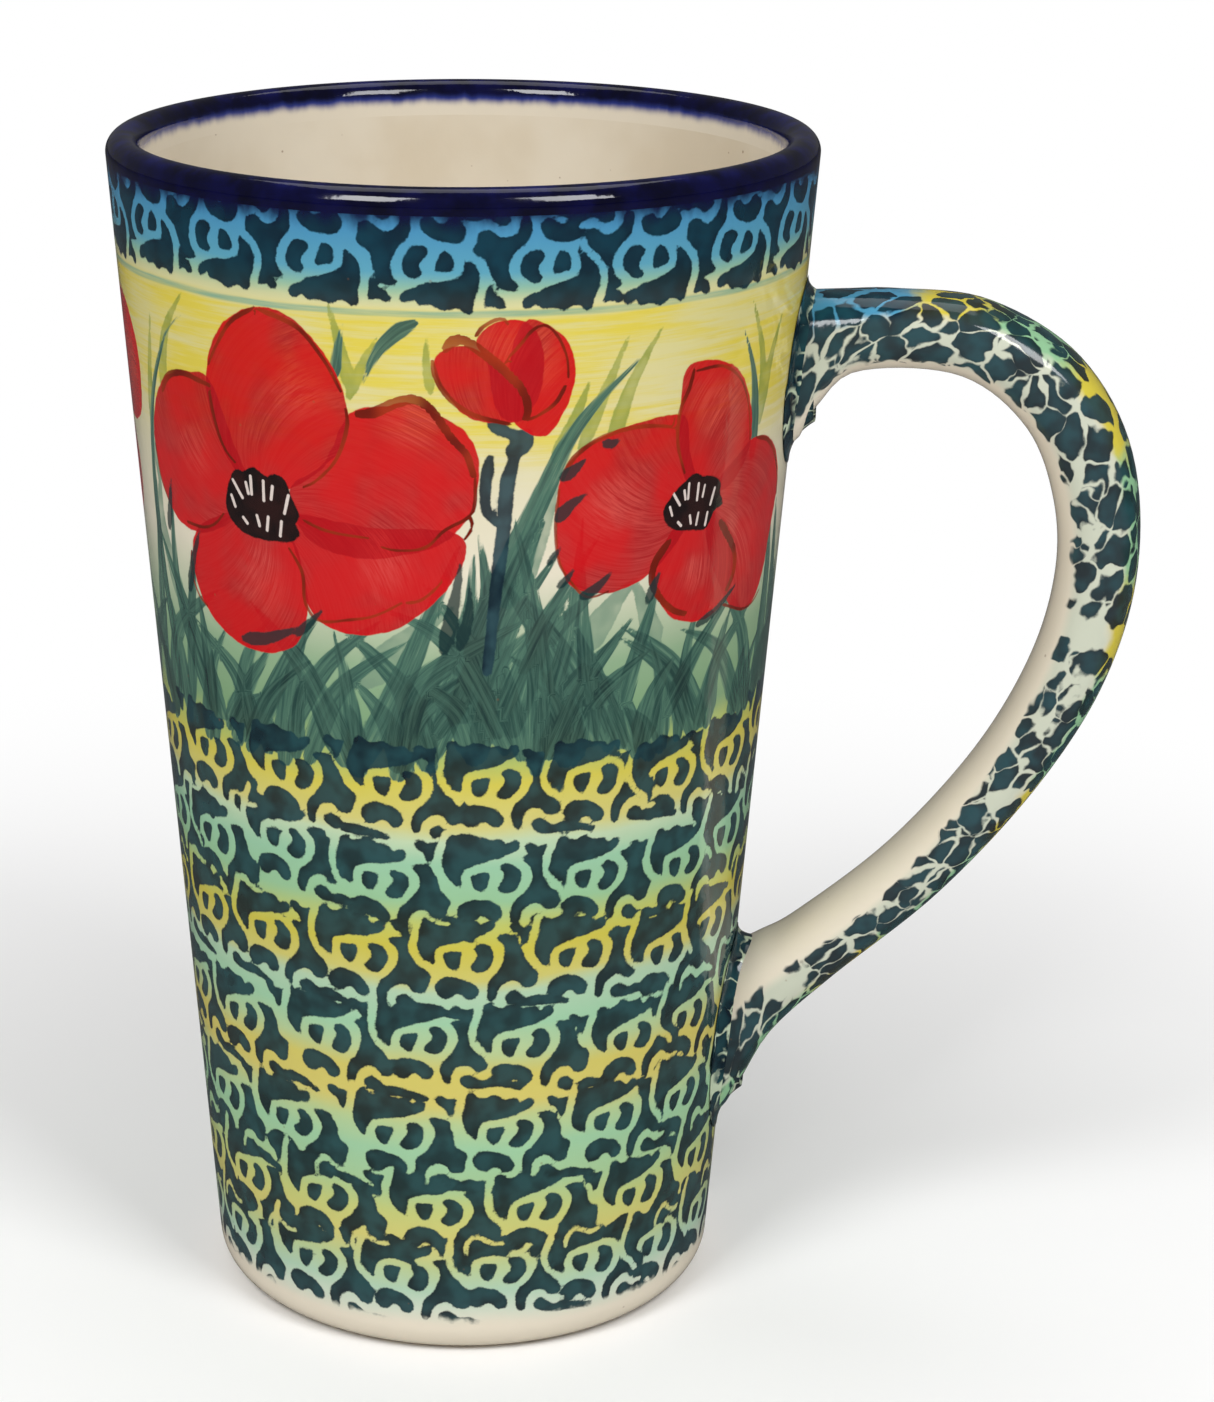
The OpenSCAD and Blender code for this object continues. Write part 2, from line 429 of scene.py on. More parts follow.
def inside(x, y, line):
    hits = np.zeros(len(x), bool)
    for (x0, y0), (x1, y1) in zip(line[:-1], line[1:]):
        if y0 != y1:
            hits ^= ((y0 > y) != (y1 > y)) & (x < (x1 - x0) * (y - y0) / (y1 - y0) + x0)
    return hits


class Layer:
    # one coat of brush marks: distance to the nearest mark's edge, a place on the mark and a seed
    def __init__(self, around, height):
        self.around, self.height = around, height
        self.values = np.zeros((len(around), 3))
        self.values[:, 0] = painting["far"]
        self.bare = np.full(len(around), painting["far"])

    def nearby(self, points, reach):
        points = np.array(points, float)
        middle = points.mean(0)
        scale = wallR(middle[1]) / painting["unit"]
        x = wrapped(self.around - middle[0]) * scale
        y = self.height - middle[1]
        local = (points - middle) * (scale, 1)
        low, high = local.min(0) - reach, local.max(0) + reach
        rows = np.where((x > low[0]) & (x < high[0]) & (y > low[1]) & (y < high[1]))[0]
        return rows, x[rows], y[rows], local

    def merge(self, rows, distance, place, seed):
        closer = distance < self.values[rows, 0]
        rows = rows[closer]
        self.values[rows, 0] = distance[closer]
        self.values[rows, 1] = place[closer]
        self.values[rows, 2] = seed

    def blob(self, points, seed, root=None):
        # a filled closed shape, such as a petal, brushed outwards from its root; returns what it covers
        rows, x, y, local = self.nearby(points, painting["far"] / 2)
        line = smoothLine(local, closed=True)
        away, sweep, _, _ = nearLine(x, y, line)
        if root:
            middle = np.array(points, float).mean(0)
            rootX, rootY = (root[0] - middle[0]) * wallR(middle[1]) / painting["unit"], root[1] - middle[1]
            dx, dy = x - rootX, y - rootY
            out = np.hypot(dx, dy)
            turn = np.arctan2(-rootX * dy + rootY * dx, -rootX * dx - rootY * dy)
            sweep = turn * (6 + 0.45 * out) + 0.02 * out**2
        within = inside(x, y, line)
        self.merge(rows, np.where(within, -away, away), sweep, seed)
        return rows[within]

    def stroke(self, points, width, seed, taper=0.75):
        # a broad brush stroke that narrows to its last point
        rows, x, y, local = self.nearby(points, painting["far"] / 2)
        line = smoothLine(local)
        away, along, side, _ = nearLine(x, y, line)
        half = width / 2 * (1 - taper * along**1.6) * np.minimum(1, 0.55 + 3 * along)
        self.merge(rows, away - half, side, seed)

    def stampBy(self, around, height, turn=0.0, size=1.0, seed=0.0):
        rows, x, y, _ = self.nearby([(around, height)], 15.5)
        cos, sin = math.cos(math.radians(turn)), math.sin(math.radians(turn))
        px, py = (x * cos + y * sin) / size, (y * cos - x * sin) / size
        # every press of the sponge comes out a little different
        px = px / sponge["stretch"] + 0.16 * np.sin(py * 0.8 + seed * 5)
        py = py + 0.14 * np.sin(px * 0.7 + seed * 9)
        for pad in sponge["pads"]:
            line = smoothLine(pad, closed=True, steps=3)
            low, high = line.min(0), line.max(0)
            near = (px > low[0] - 1.6) & (px < high[0] + 1.6) & (py > low[1] - 1.6) & (py < high[1] + 1.6)
            mx, my = px[near], py[near]
            away, _, _, _ = nearLine(mx, my, line)
            depth = np.where(inside(mx, my, line), -away, away) * size
            wash = (mx - low[0]) / (high[0] - low[0]) + 0.35 * (my - low[1]) / (high[1] - low[1])
            self.merge(rows[near], depth, wash, seed)
        # folds in the sponge leave thin lines bare
        for fold, width in sponge["folds"]:
            away, _, _, _ = nearLine(px, py, smoothLine(fold, steps=4))
            self.bare[rows] = np.minimum(self.bare[rows], away * size - width / 2)

    def leaveBare(self):
        self.values[:, 0] = np.maximum(self.values[:, 0], -self.bare)


class PenLayer(Layer):
    # fine lines: signed distance from the line, its half width there, and a seed
    def __init__(self, around, height):
        super().__init__(around, height)
        self.values[:, 0], self.values[:, 1] = 0, -9
        self.best = np.full(len(around), painting["far"])

    def line(self, points, width, seed, taper=0.5):
        rows, x, y, local = self.nearby(points, 2.5)
        away, along, side, past = nearLine(x, y, smoothLine(local))
        half = width / 2 * (1 - taper * along**1.6) * np.minimum(1, 0.5 + 5 * along)
        shown = half - 4 * past - 8 * np.maximum(0, np.abs(side) - 0.9)
        closer = away - half < self.best[rows]
        rows = rows[closer]
        self.best[rows] = (away - half)[closer]
        self.values[rows] = np.column_stack([side[closer], shown[closer], np.full(len(rows), seed)])


# the sponge: outlines of its pads, in mm (across, up) round the middle of its two round spots
sponge = {
    "stretch": 0.95,
    "pads": [
        [(-2.9, 0.9), (-1.9, 1.15), (-0.75, 1.15), (-0.7, 0.5), (-1.0, -0.5), (-1.5, -1.35), (-2.4, -1.1),
         (-2.95, -0.3)],
        [(0.9, 1.8), (1.6, 2.0), (2.5, 1.7), (3.2, 1.0), (3.3, 0.0), (3.0, -0.9), (2.3, -1.7), (1.4, -1.9),
         (0.5, -1.6),
         (0.2, -1.1), (0.6, -0.5), (1.1, 0.1), (1.2, 0.8), (0.8, 1.3)],
        [(-4.6, -3.7), (-4.1, -2.8), (-2.9, -2.3), (-1.5, -2.4), (-0.2, -2.8), (0.8, -3.7), (1.1, -4.6),
         (0.6, -5.3),
         (-0.4, -5.3), (-1.0, -4.7), (-1.6, -4.5), (-2.1, -4.7), (-2.6, -5.2), (-3.6, -5.2), (-4.4, -4.5)],
        [(-4.3, -0.8), (-5.3, -0.2), (-6.0, 0.6), (-6.4, 1.8), (-6.2, 3.3), (-5.8, 4.5), (-5.6, 5.6),
         (-4.7, 5.8),
         (-4.1, 5.3), (-3.1, 5.3), (-2.3, 5.8), (-1.5, 5.6), (-0.5, 5.2), (0.8, 5.2), (1.6, 4.5), (2.3,
                                                                                                   4.9), (3.1, 4.8),
         (3.3, 4.1), (2.8, 3.5), (1.9, 3.1), (1.0, 2.75), (0.0, 2.6), (-1.1, 2.4), (-2.5, 2.1), (-3.6, 1.6),
         (-4.1, 0.9), (-4.2, 0.0)],
        [(3.6, 2.5), (4.5, 1.5), (4.7, 0.1), (4.1, -1.3), (3.2, -2.3), (2.5, -2.9), (2.1, -4.1),
         (2.2, -5.5), (2.8, -6.1),
         (3.4, -5.7), (3.5, -4.7), (4.1, -3.8), (5.2, -3.3), (6.1, -3.5), (6.8, -4.2), (7.8, -4.3), (8.5,
                                                                                                     -3.9),
         (8.7, -3.0), (9.0, -2.0), (8.6, -1.4), (7.7, -0.8), (7.3, -0.2), (7.0, 1.0), (6.5, 1.9), (6.3, 2.6),
         (5.6, 2.9), (4.2, 2.9)],
        [(4.6, -5.2), (5.6, -4.6), (6.5, -5.0), (7.4, -5.6), (8.8, -5.4), (10.3, -5.8), (11.8, -6.3),
         (13.2, -6.9),
         (13.0, -7.5), (11.5, -7.2), (9.8, -6.9), (7.6, -6.8), (5.9, -6.6), (4.8, -6.1)],
        [(-9.9, 5.2), (-8.9, 5.4), (-8.2, 4.9), (-6.8, 5.0), (-6.7, 4.3), (-7.1, 3.3), (-7.7, 2.4),
         (-8.1, 2.5),
         (-8.6, 3.6), (-9.4, 4.1)],
    ],
    "folds": [
        ([(-6.0, 6.1), (-6.8, 3.6), (-7.0, 1.4), (-6.3, -0.2), (-5.0, -1.3), (-4.4, -2.2)], 0.92),
        ([(-3.5, 1.3), (-2.0, 1.75), (-0.2, 1.6), (0.4, 0.6), (-0.2, -0.6), (-0.6, -1.6), (-0.4, -2.2)],
         0.85),
        ([(1.5, 2.6), (3.2, 1.9), (3.9, 0.5), (3.8, -0.8), (2.9, -2.0), (1.6, -2.6)], 0.9),
        ([(3.7, -6.2), (3.9, -4.8), (5.2, -3.9), (6.6, -4.5), (7.6, -5.0), (8.8, -4.9)], 0.65),
    ],
}
# where the sponge was pressed, row by row: place round the wall, height; the rest of a row is filled in evenly
stampRows = [
    [(-54, 10.5), (-39.9, 10.6), (-23.3, 11.0), (-8.5, 11.3), (5.6, 12.3), (20.1, 11.7), (33.3, 10.7),
     (47, 10.7)],
    [(-50, 19.5), (-36.4, 19.6), (-20.8, 21.0), (-3.7, 20.9), (11.0, 20.7), (28.3, 19.5), (43.5, 20.2)],
    [(-55, 30.0), (-41.2, 29.8), (-26.0, 30.5), (-9.0, 31.4), (6.3, 31.8), (22.4, 31.5), (36.3, 30.8)],
    [(-48.5, 43), (-34.9, 42.8), (-18.7, 43.9), (-5.4, 44.8), (8.4, 44.1), (24.6, 42.3), (36.5, 42.0)],
    [(-54, 56.0), (-40.6, 56.2), (-27.3, 56.2), (-13.4, 55.9), (0.7, 56.2), (15.7, 55.4), (30.0, 53.0),
     (40.0, 53.6)],
    [(-50, 66.5), (-37.5, 66.5), (-23.9, 69.4), (-10.2, 66.0), (3.9, 66.7), (17.2, 65.9), (31.8, 64.5),
     (42.4, 65.6)],
    [(-50, 76.6), (-36.4, 78.4), (-22.2, 78.9), (-8.1, 78.9), (3.8, 79.2), (16.6, 78.7), (28.1, 77.2),
     (40.5, 76.8)],
]
rimRow = [(-52, 144.5), (-40.2, 144.6), (-28.1, 144.5), (-16, 143.9), (-3.5, 143.7), (8.7, 143.3),
          (19.7, 143.1),
          (32, 143.2), (44, 143.4)]

# poppies: middle, size, black heart, and petals in the order they were painted, each with its lightest spot
poppies = [
    {
        "middle": (-24.0, 112.7, 1.0),
        "heart": [(-29.3, 111.5), (-29, 113.5), (-28.2, 115.5), (-27.3, 116.6), (-26.2, 116.4),
                  (-25.5, 117), (-24.5, 117.2),
                  (-23.5, 116.6), (-22.7, 116.3), (-22, 116.8), (-20.9, 116.6), (-20.1, 115.3), (-19.6,
                                                                                                 113.8),
                  (-18.9, 112.2), (-19.4, 110.8), (-18.9, 109.8), (-19.6, 109), (-21, 108.5), (-24, 108.3),
                  (-26.5, 108.6), (-28.3, 109.6)],
        "petals": [
            (0, (-34, 117, 6), [(-30.5, 127), (-34, 127.3), (-37.5, 126.5), (-41, 124), (-43.6, 119),
                                (-43.6, 114.5),
                                (-41.8, 110), (-38.5, 107.4), (-34, 107.2), (-29, 109.5), (-25,
                                                                                           113), (-27.5, 120)]),
            (2, (-24, 103, 7), [(-32, 109.5), (-35.8, 106.5), (-36.6, 102), (-34.5, 97.5), (-30, 94.5),
                                (-25, 93.8),
                                (-20.6, 95.4), (-18.6, 99), (-18.6, 104.5), (-20.5, 110), (-25, 112)]),
            (1, (-9, 106.5, 7), [(-20, 112), (-19.2, 106), (-18.6, 101.5), (-16.5, 98.8), (-12.5, 97.9),
                                 (-8, 98.9),
                                 (-4, 101.8), (-0.8, 105.8), (0.4, 109.6), (-2, 111.6), (-10, 111.5)]),
            (0, (-6, 124.5, 6), [(-12.3, 125.3), (-8.5, 126.4), (-5.5, 127), (-2.5, 125.6), (0.2, 123.6),
                                 (1.6, 120.5),
                                 (1.3, 115), (-1, 111), (-5, 108.8), (-12, 107.6), (-18, 109.5), (-20,
                                                                                                  115), (-15.5, 119)]),
            (1, (-18, 127.5, 7), [(-30.7, 123), (-30.8, 128.5), (-28, 134), (-23, 137), (-18.5, 136.2),
                                  (-15, 132.5),
                                  (-12.9, 128), (-12.6, 122.5), (-15.5, 118.5), (-19.5, 115.5), (-24,
                                                                                                 113.5), (-28.4, 117.5)]),
        ],
    },
    {
        "middle": (28.4, 111.9, 0.85),
        "heart": [(23.8, 111.5), (24.5, 113.2), (26, 114.6), (27, 115.3), (28.3, 115.8), (29.5, 115.2),
                  (31, 115),
                  (32.5, 114), (32.8, 112.4), (33.4, 111), (32, 110.5), (31.3, 109.3), (30.3, 108.3), (29,
                                                                                                       108.6),
                  (27, 108.9), (25, 109.6)],
        "petals": [
            (0, (38, 104, 8), [(37, 117.4), (40.3, 118), (44, 116.6), (47, 113.3), (48.2, 109.5), (46.8, 104),
                               (45.3, 98.6), (42.2, 95.8), (38, 96.4), (34.5, 100), (31, 107), (31, 113)]),
            (1, (16, 113, 7), [(26, 123.2), (22, 123.7), (17, 122.8), (13, 120.9), (10.7, 117.5), (10.4, 112),
                               (10.9, 107), (13, 103.6), (17.5, 102.7), (22, 104), (25.5, 107), (29,
                                                                                                 112), (27, 119)]),
            (2, (29, 103, 4), [(26, 110), (23, 105.8), (23, 102.5), (25.5, 98.6), (29, 96.9), (33, 96.8),
                               (36.2, 99), (37.4, 102.8), (35.8, 106.8), (32.5, 110), (28.5, 111.5)]),
            (2, (30, 125, 6), [(25.8, 129.3), (29.5, 129.6), (33.3, 128.2), (36, 125.4), (37.9, 121),
                               (37.9, 117),
                               (35, 113.4), (29.5, 112.5), (26.6, 115.5), (25.2, 120.5), (25.2, 125)]),
        ],
    },
    {
        "middle": (-63.0, 119.5, 0.9),
        "heart": [(-67.5, 119.5), (-66.5, 122.5), (-64.5, 123.8), (-62.5, 123.2), (-60.5, 123.4),
                  (-58.8, 121.2),
                  (-58.6, 118.6), (-59.8, 116.6), (-62.5, 115.9), (-65.6, 116.4)],
        "petals": [
            (0, (-52, 126, 6), [(-60, 133), (-55, 134), (-50.5, 132.8), (-47.5, 129), (-46.7, 124.5),
                                (-48, 119.5),
                                (-51.5, 117.5), (-57, 117.8), (-63, 120), (-62, 127)]),
            (1, (-66, 131, 6), [(-73, 136), (-68, 138), (-62.5, 137), (-58.5, 132.5), (-58.8, 126),
                                (-63, 120.5),
                                (-69, 123), (-73.5, 130)]),
            (2, (-76, 119, 6), [(-82, 126), (-77, 129), (-71.5, 127), (-64.5, 121), (-66, 113.5),
                                (-72, 109.5),
                                (-79, 111), (-83.5, 117.5)]),
            (0, (-61, 108, 6), [(-68, 118.5), (-71, 111), (-69, 104.5), (-63.5, 101.6), (-57, 103),
                                (-52.8, 108),
                                (-53.2, 114), (-58, 118.5), (-63, 120.5)]),
        ],
    },
]
# chalky dashes on a heart, from and to, in mm round its middle
dashes = [
    ((-4.2, 2.4), (-2.8, 0.4)), ((-4.6, 0.4), (-4.1, -0.9)), ((-2.1, 2.4), (-1.8, 1.1)), ((-1.3, 3.3),
                                                                                          (-1.3, 1.1)),
    ((0.6, 3.0), (0.5, 0.6)), ((1.9, 2.5), (1.6, 0.9)), ((4.1, 1.7), (3.4, -0.6)), ((-2.9, -2.1),
                                                                                    (-2.3, -2.7)),
    ((-0.7, -1.5), (-0.4, -2.7)), ((1.0, -1.4), (0.7, -3.1)), ((2.9, -1.7), (2.6, -3.5)),
]
bud = {
    "root": (5.6, 121.0),
    "petals": [
        (0, (8, 131, 6), [(5.5, 124.5), (8.8, 122.8), (11, 126), (12, 130), (11.4, 133.2), (9.6, 135.6),
                          (6.5, 136.8),
                          (5, 133), (5.2, 128)]),
        (1, (4, 134, 6), [(2.6, 131.5), (1.3, 134.4), (3.4, 136.6), (6.6, 136.6), (8.4, 133), (8, 127.5),
                          (5.5, 124.8),
                          (3.4, 126.5)]),
        (2, (3, 126, 0.1), [(-3, 132.4), (-1.6, 133.6), (0.2, 134), (2.2, 133), (5, 130.6), (6.8, 127.6),
                            (6.7, 125.2),
                            (4.6, 124.6), (0.8, 125.2), (-1.6, 127.8), (-2.9, 130.4)]),
    ],
    "sepals": [(2.7, 125.3), (4.1, 124.9), (5.4, 123.8), (7.2, 123.7), (7.6, 122.2), (6.8, 120.8),
               (5.1, 120.3), (4.5, 121.3),
               (5.1, 122.5), (3.8, 123.1), (2.7, 124)],
}
# the first two flowers, the bud and the tall blades come again this far round the wall, mm
repeatAt = 119.0

# rust-brown pen strokes over the petals: points, width
penLines = [
    ([(-40.4, 123.4), (-38.6, 125.8), (-35.5, 126.9), (-32.5, 126.6), (-30.2, 126.2)], 0.95),
    ([(-43.8, 116.5), (-43, 112), (-40.6, 108.6)], 0.35),
    ([(-37.5, 107.9), (-34, 107.9), (-31.5, 108.9), (-29.6, 110.8)], 0.45),
    ([(-23.2, 136.8), (-26.4, 134.8), (-28.8, 131.6), (-30.6, 128.6)], 0.6),
    ([(-30.7, 126), (-30.2, 122.4), (-29, 119), (-27.2, 117.2)], 0.6),
    ([(-22.8, 136.8), (-18, 135.2), (-15, 131.6), (-13.1, 127.8)], 0.65),
    ([(-12.7, 126), (-12.6, 123.6), (-14, 119.6), (-16.4, 116.8), (-18.4, 115.6)], 0.5),
    ([(-11.8, 125.3), (-9.6, 125.6), (-7.2, 126.9), (-5, 127.4), (-3.2, 126), (-1.2, 122.8), (0.4, 120.8),
      (1.2, 118)], 1.35),
    ([(1.3, 118.2), (1.3, 115), (0.6, 113.2), (-2, 111.6), (-4.2, 109.4), (-7.4, 108.9), (-9.4, 109.3)],
     0.45),
    ([(0.6, 113.6), (1, 112), (0, 110.2)], 0.45),
    ([(-18.6, 111.7), (-15.4, 110.6), (-10.4, 110.2)], 0.4),
    ([(-20.6, 108), (-18.9, 105), (-18.7, 101.2), (-17, 99.2), (-13, 99.8), (-10, 100.6), (-6.6, 102.6)],
     0.45),
    ([(-6.6, 102.4), (-4.8, 102.8), (-3, 104.4), (-2.2, 105.6)], 0.4),
    ([(-36.7, 104.6), (-37.1, 101.4), (-36, 98.8), (-34.2, 97.6)], 0.45),
    ([(10.9, 117.2), (12, 119.8), (14.6, 121.8), (18, 122.8), (21.4, 122.8), (24.9, 122.1)], 0.65),
    ([(10.6, 116.4), (10.3, 111.6), (10.8, 107.4), (12.2, 104.8), (14.4, 102.5), (17.4, 103)], 0.4),
    ([(26.9, 129.2), (26.3, 126.6), (25.2, 124), (25.2, 120), (26.6, 116)], 0.6),
    ([(26.8, 128.6), (31, 128.6), (34, 127), (36, 124.6), (37.3, 121.4), (38, 117.8)], 0.42),
    ([(39.4, 118), (42.6, 117), (45.6, 114.5), (47.8, 111), (48.3, 108.4)], 0.6),
    ([(34.6, 98), (37, 97), (40, 95.9), (43, 96), (45.2, 97.2)], 0.42),
    ([(25.2, 108.2), (23.1, 105.6), (22.9, 103), (24.6, 100.4), (26.6, 98.8), (28.6, 98)], 1.15),
    ([(33, 109), (35, 106.6), (36.8, 104), (37, 101.4), (35.6, 99.2)], 1.15),
]
budLines = [
    ([(-3.2, 132.3), (-2.8, 130), (-1.5, 127.7), (0.6, 125.9), (3, 125), (5.2, 124.4)], 0.7),
    ([(-2.1, 133.1), (-1, 134.5), (0.4, 134.4), (2.2, 132.9), (4.6, 130.6), (6.3, 128.4), (6.9, 126.2),
      (6.6, 124.8)], 1.35),
    ([(1.2, 134.8), (1.9, 136), (3.2, 136.9), (4.2, 137), (4.7, 136.2)], 0.5),
    ([(4.6, 132.3), (6, 134), (7.2, 135.6), (8.6, 136.1), (10, 134.6), (11, 132), (11.2, 129.4)], 0.4),
    ([(11, 129), (9.9, 126.8), (7.9, 125.3), (6.6, 124.9)], 0.5),
]

# grass blades that stand out: points from foot to tip, width
darkBlades = [
    ([(-43, 84), (-45.5, 103), (-44.2, 119), (-39, 130), (-34.6, 134.2)], 2.2),
    ([(-35, 84), (-41, 98), (-40.2, 112.3)], 2.8),
    ([(-40, 84), (-38, 97), (-34.6, 107.4)], 2.8),
    ([(-33, 84), (-38.5, 95), (-46, 106)], 3.4),
    ([(-49, 84), (-47, 98), (-44.6, 112)], 3.4),
    ([(-28, 82), (-21.5, 93.5), (-16.7, 100.4)], 3.4),
    ([(-24, 82), (-16.5, 93.5), (-9.6, 99.8)], 3.8),
    ([(-32, 83), (-28, 89), (-24, 94.6)], 3.4),
    ([(-12, 82), (-6.5, 94), (-0.4, 109.6)], 3.8),
    ([(5, 84), (-1.5, 97), (-9.4, 101.6)], 3.6),
    ([(-4.5, 82), (0.5, 95), (3, 106.5)], 4.0),
    ([(1, 96), (8.6, 115.5), (13, 124.5), (19.3, 131.2)], 3.8),
    ([(-1, 88), (3.6, 101), (7.9, 112.4)], 3.0),
    ([(2, 88), (6.2, 100.5), (11.2, 109.2)], 2.5),
    ([(4.5, 88), (8.4, 98.5), (12.6, 106)], 2.6),
    ([(7, 94), (12.0, 100), (17.2, 105)], 2.6),
    ([(18, 83), (12.6, 94.5), (5.3, 105.2)], 3.2),
    ([(20, 83), (15.5, 93), (10.8, 102.8)], 3.2),
    ([(7, 83), (5, 92), (2.6, 100.2)], 3.2),
    ([(11, 83), (15, 92), (20.3, 99)], 3.4),
    ([(33, 83), (27, 92), (18.8, 98.4)], 3.4),
    ([(18, 83), (21.5, 95), (24.2, 104)], 3.4),
    ([(41, 83), (35, 92), (27.8, 96.2)], 3.4),
    ([(25, 84), (31, 93), (38, 99.8)], 3.2),
    ([(43, 83), (41.8, 88), (41.4, 92.4)], 2.2),
    ([(47, 83), (47.5, 96), (46.6, 107)], 4.2),
    ([(52, 83), (50.5, 97), (48.6, 108)], 4.2),
    ([(38.8, 115.8), (38.6, 121), (37.2, 127), (34.5, 132.6)], 2.1),
    ([(-13.8, 129.8), (-13.3, 133), (-12.7, 136.2)], 1.6),
    ([(-5.1, 136.4), (-7, 135.2), (-9.2, 132.6), (-10.8, 128.8)], 1.9),
    ([(14, 84), (9.5, 96), (3.6, 107)], 3.4),
    ([(-3, 86), (4, 98), (9, 112.5)], 3.2),
    ([(6, 86), (9.5, 99), (15.5, 110)], 3.0),
    ([(10, 86), (8.4, 100), (5.6, 113)], 3.0),
    ([(16, 84), (14.5, 95), (13.6, 107)], 3.2),
    ([(-6, 86), (0, 99), (1.2, 108.5)], 3.4),
    ([(0, 88), (2.6, 101), (1.8, 111)], 3.0),
    ([(9, 86), (12.5, 99), (13.4, 112.5)], 2.8),
    ([(4, 86), (1.5, 96), (-4.5, 105)], 3.2),
]
paleBlades = [
    ([(-43.5, 112), (-43.8, 122), (-41.4, 133.4)], 2.2),
    ([(-40, 124), (-38.4, 131), (-34.2, 136.8)], 2.2),
    ([(-12, 128), (-13, 133), (-14.4, 139)], 1.8),
    ([(-12.2, 127.4), (-10.8, 131), (-9, 134.6)], 1.6),
    ([(-3.4, 128.4), (-3.8, 132), (-3.7, 135.3)], 1.3),
    ([(10, 120), (12.2, 125), (13.7, 129.4)], 1.9),
    ([(13, 121), (15.6, 128), (18, 134.3)], 1.9),
    ([(16.4, 121), (18.6, 128.2), (22.1, 134.8)], 2.2),
    ([(39.8, 120), (39.2, 128), (36.0, 135.6)], 1.9),
    ([(40, 121), (41.2, 127.5), (43.4, 132.8)], 2.1),
    ([(5, 103), (8.4, 112), (10.6, 120)], 4.6),
    ([(14, 96), (18, 101.5), (20.8, 104)], 4.2),
    ([(24, 95), (21.6, 101), (20.2, 104)], 3.4),
    ([(-40, 96), (-44, 106), (-43, 114)], 3.4),
    ([(-12, 92), (-6, 98), (-1, 102)], 4.2),
]
# tips that were brushed over the petals afterwards
overBlades = [
    ([(-38, 99), (-36.4, 103.6), (-34.6, 107.4)], 1.5),
    ([(-2.2, 96.5), (-1.2, 101.5), (-0.2, 107.6)], 2.0),
    ([(-0.4, 97), (0.6, 101), (0.8, 105)], 1.6),
    ([(-42, 106), (-41, 109.5), (-40.2, 112.6)], 1.5),
    ([(-28, 95.0), (-24.6, 95.8), (-20.6, 97.6)], 1.8),
    ([(-26, 94.9), (-22, 96.6), (-19.2, 98.4)], 1.2),
    ([(-20, 97), (-18, 99), (-16.6, 100.5)], 1.3),
    ([(9.6, 107), (10.4, 108.2), (11.2, 109.3)], 0.9),
    ([(11, 104.2), (11.8, 105), (12.7, 106.2)], 1.2),
    ([(13.8, 102.6), (15.6, 103.6), (17.3, 105.3)], 1.5),
    ([(10.6, 112.6), (12, 114.2), (13.8, 115.4)], 1.8),
    ([(22.4, 100.8), (23.2, 102.8), (24.0, 104.4)], 1.5),
    ([(30.6, 96.2), (33.6, 97.2), (36, 98.6), (38, 99.8)], 1.3),
    ([(11, 117.6), (12.4, 118.6), (13.4, 119.6)], 1.7),
    ([(15.6, 121.4), (16.6, 121.2), (17.6, 121.8)], 1.3),
]
# the thick of the grass, at random: five coats of blades, each with two more than the last; mm
thicket = {
    "blades": 17,
    "tall": (10.0, 19.0),
    "short": (6.0, 10.0),     # blades of the first coat
    "bend": 0.85,             # furthest lean to a side, as a share of the height
    "foot": (80.5, 83.0),
    "width": (2.8, 4.4),
}
# stem and the small leaf of the bud
stemStrokes = [
    ([(5.8, 121.5), (4.8, 117), (4.4, 111), (3.6, 103), (2.8, 94)], 1.8),
    ([(2.9, 120.4), (2.4, 116.8), (2.6, 114), (3.8, 112.4)], 1.5),
]


def shifted(points, move):
    return [(u + move, z) for u, z in points]


